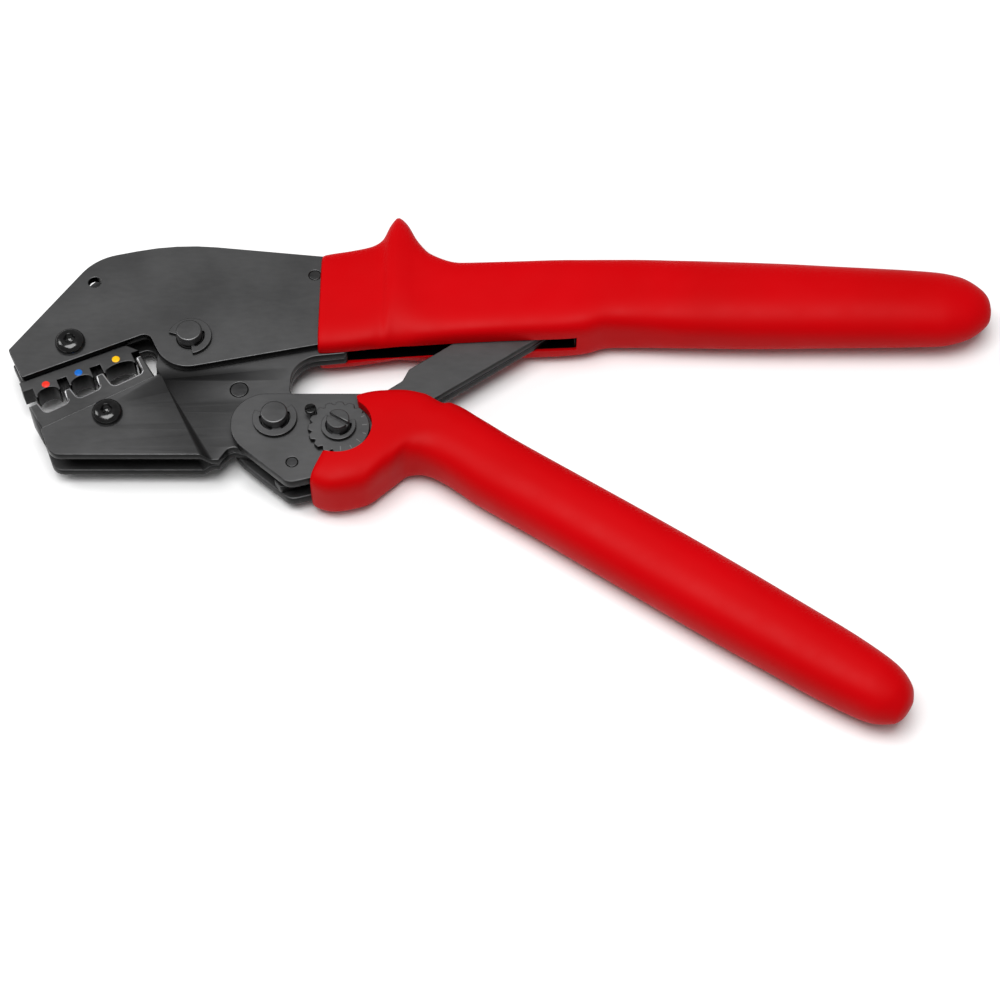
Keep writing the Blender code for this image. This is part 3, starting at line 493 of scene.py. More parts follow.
def button_screw(name, centre, body):
    """A shank, a head whose dome is a quarter ellipse, and a hexagon socket that ends in a cone."""
    seat = FRAME_HIGH + RUNNING
    top = seat + SCREW_HEAD
    turns = np.linspace(0, math.pi / 2, 13)
    reach = SCREW_TOP_R + (SCREW_HEAD_R - SCREW_TOP_R) * np.cos(turns)
    dome = np.column_stack((reach, seat + SCREW_RIM + (SCREW_HEAD - SCREW_RIM) * np.sin(turns)))
    shank = [(SCREW_R - SCREW_CHAMFER, -FRAME_HIGH), (SCREW_R, -FRAME_HIGH + SCREW_CHAMFER), (SCREW_R, seat),
             (SCREW_HEAD_R - SCREW_EASE, seat), (SCREW_HEAD_R, seat + SCREW_EASE)]
    socket = [(SOCKET_R + SCREW_EASE, top), (SOCKET_R, top - 0.1), (SOCKET_R, top - SOCKET_WALL),
              (0.25, top - SOCKET_DEPTH)]
    profile = np.vstack((shank, dome, socket))
    share = np.zeros(len(profile))
    share[-4:] = (0.6, 1, 1, 0)
    shape = turned(profile, centre, 96, corner_share=share, start=HEX_TURN)
    settle(make_piece(f"{name}_fine", shape, (oxide,)), body, "black_steel", name)


button_screw("upper_die_screw", UPPER_SCREW, "frame")


# Main pin. A turned steel pin with its head below, put through both plate pairs. On top an open spring
# clip, stamped from sheet, snaps into its groove and holds it.
CLIP = 0.8
CLIP_R = 5.5
CLIP_MOUTH = 52
CLIP_LUG = 16
CLIP_EASE = 0.14
PIN_HEAD = 1.2
PIN_FLANGE = 1.3
PIN_PROUD = 2.3
PIN_GROOVE = 0.6
LUG_REACH = 0.53
CLIP_CLEAR = 0.45

pin_steel = steel_finish("pin_steel", (0.095, 0.095, 0.096), (0.125, 0.125, 0.126), 0.32, 0.42)
pin_finishes = (pin_steel, pin_steel, edge_wear_and_sheen)


def clip_pin(name, centre, radius, plate_high, opening, body):
    """The pin, from its head up: shank, groove, and the end that stands proud with a rounded rim."""
    groove = plate_high + PLAY / 2
    after = groove + CLIP + PLAY
    top = after + PIN_PROUD
    under = -(plate_high + PLAY)
    head = radius + PIN_FLANGE
    neck = radius - PIN_GROOVE
    profile = rounded(((0, under - PIN_HEAD, 0), (head, under - PIN_HEAD, 0.35), (head, under, 0.15),
                       (radius, under, 0), (radius, groove, 0), (neck, groove, 0), (neck, after, 0),
                       (radius, after, 0.12), (radius, top, 0.4), (0, top, 0)))[1:-1]
    settle(make_piece(f"{name}_fine", turned(profile, centre, 96), pin_finishes), body, "pin_steel", name)
    spring_clip(f"{name}_clip", centre, (radius - LUG_REACH, radius + CLIP_CLEAR, CLIP_R), opening,
                groove + PLAY / 2, body)


def spring_clip(name, centre, radii, opening, low, body):
    """An open clip of arcs, radii being those of its lugs, of its inside between them and of its rim.

    Three lugs reach into the groove, and between them the inside clears the pin.
    """
    grip_r, clear_r, outer_r = radii
    start, end = opening + CLIP_MOUTH, opening + 360 - CLIP_MOUTH
    back = opening + 180
    clear = CLIP_LUG + 5
    inside = np.vstack((arc(centre, grip_r, end, end - CLIP_LUG),
                        arc(centre, clear_r, end - clear, back + clear),
                        arc(centre, grip_r, back + CLIP_LUG, back - CLIP_LUG),
                        arc(centre, clear_r, back - clear, start + clear),
                        arc(centre, grip_r, start + CLIP_LUG, start)))
    outside = arc(centre, outer_r, start + 4, end - 4)
    shape = plate([np.vstack((outside, inside))], low, low + CLIP, CLIP_EASE)
    settle(make_piece(f"{name}_fine", shape, plate_finishes), body, "pin_steel", name)


clip_pin("main_pin", (0, 0), MAIN_PIN_R, FRAME_HIGH, 225, "frame")


# Upper grip. A thick sleeve of dip-moulded red plastic over the frame's tail, with a thumb guard at its
# front and a slot along its underside that the link's end works in.
GRIP_HALF = 8.2
UPPER_GRIP_END = 203.8
GUARD_HEIGHT = 40.1
GRIP_SLOT_END = 97.5
SLOT_HALF = 12.0
POCKET_PLAY = 0.12
CUT_EASE = 0.01
AROUND = 112
ALONG = 170


def red_plastic(new, link, shader):
    """Soft-looking dip-moulded plastic: deep red, a satin skin with a fine pebble and slow waves."""
    slow = noise_on_object(new, link, 28, 3)
    pebble = noise_on_object(new, link, 1500, 3)
    waves = noise_on_object(new, link, 130, 2)
    link(colour_between(new, link, slow, 0.3, 0.7, (0.45, 0.0, 0.001), (0.51, 0.0, 0.002)),
         shader.inputs["Base Color"])
    link(value_between(new, link, waves, 0.42, 0.52), shader.inputs["Roughness"])
    shader.inputs["Specular IOR Level"].default_value = 0.06
    mixed = new("ShaderNodeMath")
    mixed.operation = "MULTIPLY_ADD"
    mixed.inputs[1].default_value = 2.5
    link(waves, mixed.inputs[0])
    link(pebble, mixed.inputs[2])
    bump_from(new, link, shader, mixed.outputs[0], 0.10, 0.00006)


grip_finishes = (finish_with_nodes("red_plastic", red_plastic),)


def smooth_through(stations, values, at):
    """Cubic pieces through the values at the stations, with slopes of harmonic means so none overshoots."""
    step = np.diff(stations)[:, None]
    rate = np.diff(values, axis=0) / step
    slope = np.zeros_like(values)
    same = rate[:-1] * rate[1:] > 0
    mean = 2 * rate[:-1] * rate[1:] / np.where(same, rate[:-1] + rate[1:], 1)
    slope[1:-1] = np.where(same, mean, 0)
    slope[0], slope[-1] = rate[0], rate[-1]
    k = np.clip(np.searchsorted(stations, at, side="right") - 1, 0, len(stations) - 2)
    t = ((at - stations[k]) / (stations[k + 1] - stations[k]))[:, None]
    return ((1 + 2 * t) * (1 - t) ** 2 * values[k] + t * (1 - t) ** 2 * step[k] * slope[k]
            + t * t * (3 - 2 * t) * values[k + 1] + t * t * (t - 1) * step[k] * slope[k + 1])


def sleeve(ribs):
    """A grip's skin as a function of the way along it and the turn round it.

    A rib is (x, y of its upper side, x, y of its lower side, half thickness, squareness). Between ribs
    these run smoothly. Round a rib the skin is a superellipse: the cosine and the sine of the turn to the
    power of two over the squareness, times the half width and the half thickness. Fans close both ends.
    """
    ribs = np.array(ribs, float)
    middle = (ribs[:, :2] + ribs[:, 2:4]) / 2
    edge_steps = np.linalg.norm(np.diff(ribs[:, :5], axis=0), axis=1)
    middle_steps = np.linalg.norm(np.diff(middle, axis=0), axis=1)
    stations = np.concatenate(([0], np.cumsum(np.maximum(edge_steps, middle_steps))))
    even = np.linspace(0, 1, ALONG)
    at = stations[-1] * (even - 0.06 * np.sin(2 * math.pi * even))
    ax, ay, bx, by, half, square = smooth_through(stations, ribs, at).T[:, :, None]
    turns = np.linspace(0, 2 * math.pi, AROUND, endpoint=False)[None]
    across = np.sign(np.cos(turns)) * np.abs(np.cos(turns)) ** (2 / square)
    height = np.sign(np.sin(turns)) * np.abs(np.sin(turns)) ** (2 / square)
    grid = np.stack(((ax + bx) / 2 + (ax - bx) / 2 * across, (ay + by) / 2 + (ay - by) / 2 * across,
                     half * height), 2)
    ends = (grid[0].mean(0), grid[-1].mean(0))
    faces = ring_faces(ALONG, AROUND)
    here = np.arange(AROUND)
    for rim, pole in ((0, ALONG * AROUND), ((ALONG - 1) * AROUND, ALONG * AROUND + 1)):
        faces += np.column_stack((here + rim, (here + 1) % AROUND + rim, np.full(AROUND, pole))).tolist()
    points = np.vstack((grid.reshape(-1, 3), ends))
    return points, faces, np.zeros(len(faces), int), np.zeros(len(faces), bool)


def cut_away(piece, *shapes):
    """Take shapes out of a piece, then keep only edges sharper than 40 degrees sharp."""
    tools = [make_piece(f"cut_{k}", shape, ()) for k, shape in enumerate(shapes)]
    for tool in tools:
        step = piece.modifiers.new(tool.name, "BOOLEAN")
        step.object = tool
        step.solver = "EXACT"
    view = bpy.context.evaluated_depsgraph_get()
    carved = bpy.data.meshes.new_from_object(piece.evaluated_get(view))
    piece.modifiers.clear()
    piece.data = carved
    for tool in tools:
        bpy.data.objects.remove(tool)
    carved.shade_smooth()
    carved.set_sharp_from_angle(angle=math.radians(40))


def widened(loop, distance):
    """A closed outline moved to its outside."""
    return moved_inwards(loop, -distance)


upper_ribs = [(x, high, x, low, half, square) for x, high, low, half, square in (
    (32.2, 26.1, -2.8, 6.0, 5), (32.35, 26.45, -3.1, 6.4, 5), (33.0, 26.8, -3.3, 6.7, 5),
    (40.5, 28.4, -2.7, 6.7, 5), (45.0, 29.8, -2.1, 6.85, 4.6), (47.6, GUARD_HEIGHT - 7.9, -1.9, 7.0, 3.8),
    (49.9, GUARD_HEIGHT - 2.4, -1.7, 8.0, 3.2), (51.6, GUARD_HEIGHT, -1.5, GRIP_HALF, 3),
    (53.6, GUARD_HEIGHT - 1.9, -1.3, 8.0, 3.2), (57.0, GUARD_HEIGHT - 8.9, -1.0, 7.55, 4),
    (60.4, GUARD_HEIGHT - 13.3, -0.7, 7.45, 4.6), (68.0, 23.7, -0.1, 7.6, 5), (80.0, 23.9, 0.6, 7.85, 5),
    (94.0, 24.5, 1.2, 8.0, 4.6), (99.5, 24.7, 1.7, 8.0, 4.2), (106.0, 24.9, 3.4, 8.0, 3.8),
    (114.0, 25.2, 3.2, 8.0, 3.4), (UPPER_GRIP_END - 79, 25.5, 2.5, 8.0, 2.8),
    (UPPER_GRIP_END - 55, 25.0, 1.9, 7.9, 2.5), (UPPER_GRIP_END - 38, 24.2, 1.9, 7.8, 2.3),
    (UPPER_GRIP_END - 14, 22.7, 2.1, 7.2, 2.2), (UPPER_GRIP_END - 7.5, 21.5, 3.3, 6.2, 2.1),
    (UPPER_GRIP_END - 2.6, 18.4, 6.2, 4.4, 2), (UPPER_GRIP_END - 0.5, 15.6, 8.8, 2.4, 2),
    (UPPER_GRIP_END, 13.4, 11.0, 0.8, 2))]
upper_grip = make_piece("upper_grip_fine", sleeve(upper_ribs), grip_finishes)
link_slot = np.array([(20.0, -SLOT_HALF), (GRIP_SLOT_END, -SLOT_HALF), (GRIP_SLOT_END, SLOT_HALF),
                      (20.0, SLOT_HALF)])
frame_pocket = widened(frame_outline, POCKET_PLAY)
cut_away(upper_grip, plate([frame_pocket], -FRAME_HIGH - POCKET_PLAY, FRAME_HIGH + POCKET_PLAY, CUT_EASE),
         plate([link_slot], -GAP / 2, GAP / 2, CUT_EASE))
settle(upper_grip, "frame", "red_plastic", "upper_grip")


# Slot lining. Thin strips along both sides and the end of the grip's slot, pressed in to keep the link off
# the plastic. They take the walls' near-black painted-shade finish, so the slot shows painted shade.
SHADE_LINING = 0.22
shade_lining_outline = rounded(((33.2, -2.3, 0.2), (52.0, -1.0, 20.0), (80.0, 1.2, 40.0), (97.3, 2.1, 0.4),
                          (97.3, 9.0, 0.4), (33.2, 9.0, 0.2)))
shade_lining_end = np.array([(96.9, 2.2), (97.4, 2.2), (97.4, 9.0), (96.9, 9.0)])
shade_strips = [plate([shade_lining_outline], GAP / 2 - 0.06, GAP / 2 + SHADE_LINING, 0.04, 1),
          plate([shade_lining_outline], -GAP / 2 - SHADE_LINING, -GAP / 2 + 0.06, 0.04, 1),
          plate([shade_lining_end], -GAP / 2, GAP / 2, 0.04, 1)]
settle(make_piece("link_slot_shade_lining", joined(*shade_strips), (painted_shade_wall,)), "frame", "burnished_steel")


# Moving jaw. Two steel plates that turn on the main pin between the frame plates. Ahead of a slanting
# joggle they are pressed apart to lie flush with the moving die that is screwed between them.
JAW_CLOSING = 5.9
INNER_LOW = 0.15
INNER_HIGH = 2.25
JAW_RIVET = (13.0, -14.3)
JAW_RIVET_R = 2.25
TOGGLE_PIVOT = (22.7, -25.3)
TOGGLE_PIN_R = 3.3
jaw_line_angle = MOUTH_ANGLE + JAW_CLOSING
opened = from_line(MOUTH_CORNER, MOUTH_ANGLE, 0, -12.1)
jaw_corner = from_line((0, 0), JAW_CLOSING, *opened)
lower_screw = from_line(jaw_corner, jaw_line_angle, 14.6, -4.3)

jaw_outline = rounded((
    (*from_line(jaw_corner, jaw_line_angle, PILLARS[0][0], 0), 0.3), (-31.8, -35.3, 3.4), (9.2, -35.3, 0.8),
    (11.7, -31.2, 2.2), (16.2, -32.7, 2.0),
    (TOGGLE_PIVOT[0] + 7.2, TOGGLE_PIVOT[1] - 7.4, 7.2), (TOGGLE_PIVOT[0] + 7.2, -19.0, 4.0),
    (25.7, -15.0, 2.0), (25.7, -4.6, 7.5), (39.6, -3.0, 1.5), (39.6, 2.6, 2.0), (8.0, 8.3, 10.0),
    (-8.3, 8.3, 8.2), (-8.3, -7.0, 3.0), (*from_line(jaw_corner, jaw_line_angle, 30.2, 0), 0.4)))
jaw_holes = [circle((0, 0), MAIN_PIN_R + RUNNING), circle(TOGGLE_PIVOT, TOGGLE_PIN_R + RUNNING),
             circle(JAW_RIVET, JAW_RIVET_R), circle(lower_screw, SCREW_R + RUNNING)]


def square_seam(points, reach):
    """Points just off the seam move onto it, so the edge rounding stops where the die meets the plates."""
    ahead = np.array([math.cos(math.radians(jaw_line_angle)), math.sin(math.radians(jaw_line_angle))])
    across = (points[:, :2] - jaw_corner) @ (-ahead[1], ahead[0])
    along = (points[:, :2] - jaw_corner) @ ahead
    near = (np.abs(across) < reach) & (along > -2) & (along < 31)
    shift = np.where(near, 0.03 * np.sign(across) - across, 0)
    points[:, :2] += shift[:, None] * (-ahead[1], ahead[0])


def joggle(mesh, side):
    """Press the plate outwards ahead of the joggle.

    Its two bend lines fan out from one point past the plate's upper edge. The rise is the smooth step of
    the turn between them, three squares less two cubes, so the plate bends over a narrow cone.
    """
    fan = Vector((*MAIN_PIVOT, 0)) + Vector((-7.6, -9.0, 0))
    first_turn, last_turn, folds = -65.2, -59.6, 8
    work = bmesh.new()
    work.from_mesh(mesh)
    for turn in np.linspace(first_turn, last_turn, folds + 1):
        across = Vector((-math.sin(math.radians(turn)), math.cos(math.radians(turn)), 0))
        bmesh.ops.bisect_plane(work, geom=work.verts[:] + work.edges[:] + work.faces[:], dist=1e-7,
                               plane_co=fan * MM, plane_no=across)
    work.to_mesh(mesh)
    work.free()
    points = np.empty(len(mesh.vertices) * 3)
    mesh.vertices.foreach_get("co", points)
    points = points.reshape(-1, 3)
    x, y = points[:, 0] / MM - fan.x, points[:, 1] / MM - fan.y
    share = np.clip((last_turn - np.degrees(np.arctan2(y, x))) / (last_turn - first_turn), 0, 1)
    share = np.where(y < -2.0, share, 0)
    points[:, 2] += side * (FRAME_HIGH - INNER_HIGH) * MM * share ** 2 * (3 - 2 * share)
    plan = points / MM - (*MAIN_PIVOT, 0)
    square_seam(plan, 0.25)
    points = (plan + (*MAIN_PIVOT, 0)) * MM
    mesh.vertices.foreach_set("co", points.ravel())
    mesh.update()


plate_pair("jaw_plate", [jaw_outline, *jaw_holes], INNER_LOW, INNER_HIGH, "moving_jaw", joggle)
flush_rivet("jaw_rivet", JAW_RIVET, JAW_RIVET_R - RUNNING, INNER_HIGH, "moving_jaw")


# Moving die. A steel insert as thick as the jaw, with four pillars and three nests. Grinding and use
# have left a bright line along the edges of its pillars and nests.
def lower_die_line():
    """The pillars and the nest floors between them, as corners with their radii, rounded off."""
    line = [(PILLARS[0][0], 0.06)]
    for k, (left, right) in enumerate(PILLARS):
        if k:
            line.append((left - 0.25, NEST_FLOORS[k - 1] + 0.9, 0.5))
        line += [(left + 0.1, PILLAR_TOP, 0.5), (right - 0.1, PILLAR_TOP, 0.5)]
        if k < len(NEST_FLOORS):
            line += [(right + 0.35, NEST_FLOORS[k], 1.3), (PILLARS[k + 1][0] - 0.35, NEST_FLOORS[k], 1.3)]
    line.append((PILLARS[-1][1], 0.06))
    return rounded([(*from_line(jaw_corner, jaw_line_angle, *point[:2]), *(point[2:] or (0.0,)))
                    for point in line])


lower_tongue = on_line(jaw_corner, jaw_line_angle, (
    (1.5, REST_GAP), (DIE_LENGTH - 2.5, REST_GAP), (DIE_LENGTH - 6.0, 1.0 - TONGUE_DEPTH),
    (1.5, 1.0 - TONGUE_DEPTH)))
BRIGHT_EDGE = 0.42
die_block = plate([lower_die_line()], -FRAME_HIGH, FRAME_HIGH, BRIGHT_EDGE)
square_seam(die_block[0], 0.5)
die_middles = np.array([die_block[0][face, :2].mean(0) for face in die_block[1]]) - jaw_corner
die_along = die_middles @ (math.cos(math.radians(jaw_line_angle)), math.sin(math.radians(jaw_line_angle)))
at_ends = (die_along < PILLARS[0][0] + 0.45) | (die_along > DIE_LENGTH - 0.45)
die_block[2][at_ends & (die_block[2] == 2)] = 0
lower_die_shape = joined(die_block, plate([lower_tongue], -TONGUE_HALF, TONGUE_HALF, TONGUE_EASE))
lower_die = make_piece("lower_die_fine", lower_die_shape, (die_face, die_painted_shade_wall, bright_edge))
settle(lower_die, "moving_jaw", "die_steel", "lower_die")
button_screw("lower_die_screw", lower_screw, "moving_jaw")


# Lower handle. Two thicker plates outside the jaw's, hinged to it on the toggle pin, that carry the wheel,
# the link and the pawl and end inside the lower grip.
HANDLE_HIGH = 5.15
LINK_PIVOT = (38.6, -28.6)
BOLT_R = 2.8
PAWL_PIVOT = (27.5, -37.8)
PAWL_PIN_R = 1.45
SPRING_POST = (36.5, -38.8)
POST_R = 0.8
LOCK_SCREW = from_line(LINK_PIVOT, 146, 8.5, 0)
LOWER_GRIP_START = (66.0, -28.6)
LOWER_GRIP_ANGLE = -35.0
LOWER_GRIP_STRAIGHT = 119.0
LOWER_PLATE_END = 56.0
PRESS_FIT = 0.08


def on_handle(along, across):
    """A point given along and across the straight of the lower handle."""
    return from_line(LOWER_GRIP_START, LOWER_GRIP_ANGLE, along, across)


handle_outline = rounded((
    (11.6, -17.5, 8.6), (11.9, -30.8, 10.0), (26.7, -43.9, 3.4), (33.0, -42.2, 2.0), (44.5, -41.6, 4.0),
    (*on_handle(-4.0, -5.4), 6.0), (*on_handle(LOWER_PLATE_END, -5.4), 2.0),
    (*on_handle(LOWER_PLATE_END, 5.4), 2.0), (*on_handle(0, 5.4), 10.0), (54.0, -17.5, 6.0)))
handle_holes = [circle(TOGGLE_PIVOT, TOGGLE_PIN_R + RUNNING), circle(LINK_PIVOT, BOLT_R + RUNNING),
                circle(PAWL_PIVOT, PAWL_PIN_R), circle(SPRING_POST, POST_R)]
plate_pair("handle_plate", [handle_outline, *handle_holes], GAP / 2, HANDLE_HIGH, "lower_handle")
clip_pin("toggle_pin", TOGGLE_PIVOT, TOGGLE_PIN_R, HANDLE_HIGH, 100, "lower_handle")
flush_rivet("pawl_pin", PAWL_PIVOT, PAWL_PIN_R - PRESS_FIT, HANDLE_HIGH, "lower_handle")
flush_rivet("spring_post", SPRING_POST, POST_R - PRESS_FIT, HANDLE_HIGH, "lower_handle")


# Ratchet pawl and its leg spring, between the handle plates. The pawl is a small hardened plate; the spring
# is drawn wire wound round the pawl's pin, with one leg resting on the post.
PAWL_ANGLE = 39.7
PAWL_TOP = 0.4
PAWL_EASE = 0.15
SPRING_TURNS = 2.25
SPRING_WIRE_R = 0.25
SPRING_LOW = 0.95
WIRE_SIDES = 12

pawl_outline = rounded([(*from_line(PAWL_PIVOT, PAWL_ANGLE, a, b), r) for a, b, r in (
    (4.6, 0.6, 0.2), (1.5, 3.2, 2.6), (-2.0, 2.8, 2.0), (-5.0, 1.2, 0.6), (-5.0, -1.4, 0.6),
    (-1.8, -2.8, 2.0), (1.8, -2.9, 2.4), (4.6, -0.6, 0.2))])
pawl_loops = [pawl_outline, circle(PAWL_PIVOT, PAWL_PIN_R + RUNNING)]
pawl_shape = plate(pawl_loops, -INNER_HIGH, PAWL_TOP, PAWL_EASE)
pawl = make_piece("ratchet_pawl_fine", pawl_shape, (die_face, die_painted_shade_wall, edge_wear_and_sheen))
settle(pawl, "ratchet_pawl", "burnished_steel", "ratchet_pawl")


def wire_along(path, radius):
    """A round wire: each point of the path is moved by the wire's radius, round its direction."""
    ahead = np.gradient(path, axis=0)
    ahead /= np.linalg.norm(ahead, axis=1, keepdims=True)
    side = np.cross(ahead, (0, 0, 1))
    side /= np.linalg.norm(side, axis=1, keepdims=True)
    up = np.cross(side, ahead)
    turns = np.linspace(0, 2 * math.pi, WIRE_SIDES, endpoint=False)[:, None]
    grid = path[:, None] + radius * (side[:, None] * np.cos(turns) + up[:, None] * np.sin(turns))
    last = (len(path) - 1) * WIRE_SIDES
    caps = [list(range(WIRE_SIDES)), list(range(last, last + WIRE_SIDES))]
    faces = ring_faces(len(path), WIRE_SIDES) + caps
    return grid.reshape(-1, 3), faces, np.zeros(len(faces), int), np.zeros(len(faces), bool)


def pawl_spring():
    """The coil is a helix round the pawl's pin, and its leg runs straight on towards the post."""
    reach = np.subtract(SPRING_POST, PAWL_PIVOT)
    heading = math.atan2(reach[1], reach[0])
    share = np.linspace(0, 1, 80)
    turns = heading - math.pi / 2 - 2 * math.pi * SPRING_TURNS * (1 - share)
    coil_r, low, high = PAWL_PIN_R + 0.6, SPRING_LOW, INNER_HIGH - REST_GAP
    coil = np.column_stack((PAWL_PIVOT[0] + coil_r * np.cos(turns), PAWL_PIVOT[1] + coil_r * np.sin(turns),
                            low + (high - low) * share))
    steps = np.linspace(0.3, np.hypot(*reach) - 1.6, 12)[:, None]
    leg = coil[-1] + steps * [math.cos(heading), math.sin(heading), 0]
    return wire_along(np.vstack((coil, leg)), SPRING_WIRE_R)


spring_steel = steel_finish("spring_steel", (0.36, 0.36, 0.37), (0.5, 0.5, 0.51), 0.22, 0.34)
spring = make_piece("pawl_spring_fine", pawl_spring(), (spring_steel,))
settle(spring, "lower_handle", "spring_steel", "pawl_spring")


# Adjusting wheel. A thin stamped disc on the eccentric bolt; its notches catch the lock screw, and plain
# strokes round the rest of it are the dial.
WHEEL_R = 7.6
WHEEL_NOTCHES = 16
NOTCH_DEPTH = 0.85
NOTCH_SHARE = 0.30
WHEEL_LOW = HANDLE_HIGH + RUNNING
WHEEL_HIGH = WHEEL_LOW + 1.5
FIRST_NOTCH = 146
DIAL_START = -92
DIAL_SPAN = 128
STROKES = 6
STROKE_HALF = 0.09
LONG_STROKE, SHORT_STROKE, STROKE_END = 1.9, 1.5, 0.6


def wheel_rim():
    """The radius dips by the notch depth times a cosine squared near each notch, except on the dial."""
    turns = np.linspace(0, 360, 720, endpoint=False)
    pitch = 360 / WHEEL_NOTCHES
    beside = (np.mod(turns - FIRST_NOTCH + pitch / 2, pitch) - pitch / 2) / (pitch * NOTCH_SHARE)
    notched = np.mod(turns - DIAL_START, 360) > DIAL_SPAN
    dip = np.where(notched & (np.abs(beside) < 1), np.cos(beside * math.pi / 2) ** 2, 0)
    reach = WHEEL_R - NOTCH_DEPTH * dip
    x = LINK_PIVOT[0] + reach * np.cos(np.radians(turns))
    y = LINK_PIVOT[1] + reach * np.sin(np.radians(turns))
    return np.column_stack((x, y))


wheel_shape = plate([wheel_rim(), circle(LINK_PIVOT, BOLT_R + RUNNING)], WHEEL_LOW, WHEEL_HIGH)
wheel = make_piece("adjusting_wheel_fine", wheel_shape, plate_finishes)
settle(wheel, "adjusting_wheel", "pin_steel", "adjusting_wheel")

paint = steel_finish("dial_stroke", (0.17, 0.17, 0.17), (0.24, 0.24, 0.24), 0.4, 0.55)
strokes = []
for k in range(STROKES):
    heading = DIAL_START + 8 + k * 360 / WHEEL_NOTCHES
    inner, outer = WHEEL_R - (SHORT_STROKE if k % 2 else LONG_STROKE), WHEEL_R - STROKE_END
    outline = on_line(LINK_PIVOT, heading, ((inner, -STROKE_HALF), (outer, -STROKE_HALF),
                                            (outer, STROKE_HALF), (inner, STROKE_HALF)))
    strokes.append(plate([outline], WHEEL_HIGH - 0.05, WHEEL_HIGH + 0.02, 0.005, 1))
settle(make_piece("dial_strokes", joined(*strokes), (paint,)), "adjusting_wheel", "pin_steel")


# Eccentric bolt. A turned, slotted steel bolt that the link turns on and the wheel sets. Its head lies under
# the handle plates, and a smaller spring clip of its own holds it on top.
BOLT_CLIP_R = 4.3
BOLT_LUG_REACH = 0.43
BOLT_CLIP_CLEAR = 0.35
BOLT_PROUD = 2.6
BOLT_GROOVE = 0.5
BOLT_SLOT = 0.9
BOLT_SLOT_DEPTH = 1.1
BOLT_SLOT_TURN = -32


def slotted_top(centre, radius, slot, degrees, floor, top):
    """The end of a slotted bolt: two half discs, cut off along the slot, on the slot's floor."""
    reach = math.degrees(math.asin(slot / 2 / radius))
    halves = []
    for side in (0, 180):
        rim = arc(centre, radius, degrees + side + reach, degrees + side + 180 - reach)
        halves.append(plate([rim], floor - 0.05, top, 0.22))
    return halves


def bolt():
    """The bolt from its head up: shank, groove and slotted end, turned but for the two halves of the end."""
    groove = WHEEL_HIGH + PLAY / 2
    after = groove + CLIP + PLAY
    top = after + BOLT_PROUD
    floor = top - BOLT_SLOT_DEPTH
    under = -(HANDLE_HIGH + PLAY)
    head = BOLT_R + PIN_FLANGE
    neck = BOLT_R - BOLT_GROOVE
    profile = rounded(((0, under - PIN_HEAD, 0), (head, under - PIN_HEAD, 0.35), (head, under, 0.15),
                       (BOLT_R, under, 0), (BOLT_R, groove, 0), (neck, groove, 0), (neck, after, 0),
                       (BOLT_R, after, 0.1), (BOLT_R, floor, 0), (0, floor, 0)))[1:-1]
    halves = slotted_top(LINK_PIVOT, BOLT_R, BOLT_SLOT, BOLT_SLOT_TURN, floor, top)
    return joined(turned(profile, LINK_PIVOT, 96), *halves)


bolt_piece = make_piece("eccentric_bolt_fine", bolt(), pin_finishes)
settle(bolt_piece, "adjusting_wheel", "pin_steel", "eccentric_bolt")
bolt_clip_radii = (BOLT_R - BOLT_LUG_REACH, BOLT_R + BOLT_CLIP_CLEAR, BOLT_CLIP_R)
spring_clip("eccentric_bolt_clip", LINK_PIVOT, bolt_clip_radii, 80, WHEEL_HIGH + PLAY, "adjusting_wheel")


# Lock screw. A small slotted steel screw, blackened, that is screwed into the handle plate beside the wheel.
# Its head holds the wheel's rim down.
LOCK_HEAD_R = 1.45
LOCK_HEAD = 1.0
LOCK_NECK_R = 0.7
LOCK_SLOT = 0.5
LOCK_SLOT_DEPTH = 0.45
LOCK_SLOT_TURN = 20


def lock_screw():
    """The screw from its foot up: neck and head, turned but for the two halves of the slotted end."""
    foot = GAP / 2 + REST_GAP
    under = WHEEL_HIGH + PLAY
    top = under + LOCK_HEAD
    floor = top - LOCK_SLOT_DEPTH
    profile = rounded(((0, foot, 0), (LOCK_NECK_R, foot, 0), (LOCK_NECK_R, under, 0),
                       (LOCK_HEAD_R, under, 0.1), (LOCK_HEAD_R, floor, 0), (0, floor, 0)))[1:-1]
    halves = slotted_top(LOCK_SCREW, LOCK_HEAD_R, LOCK_SLOT, LOCK_SLOT_TURN, floor, top)
    return joined(turned(profile, LOCK_SCREW, 48), *halves)


screw_piece = make_piece("wheel_lock_screw_fine", lock_screw(), (oxide,))
settle(screw_piece, "lower_handle", "black_steel", "wheel_lock_screw")


# Link. Two plates back to back from the eccentric bolt to the pin inside the upper grip, with the ratchet's
# teeth cut round the near end. A rivet inside the grip's slot holds them together.
LINK_LENGTH = 66.0
LINK_ANGLE = 36.5
LINK_END_R = 7.4
TOOTH_ROOT_R = 8.2
TOOTH_TIP_R = 9.2
TEETH = 5
FIRST_TOOTH = 188
LAST_TOOTH = 212
LINK_BORE_EASE = 0.55
ANCHOR_HOLE_R = 2.95


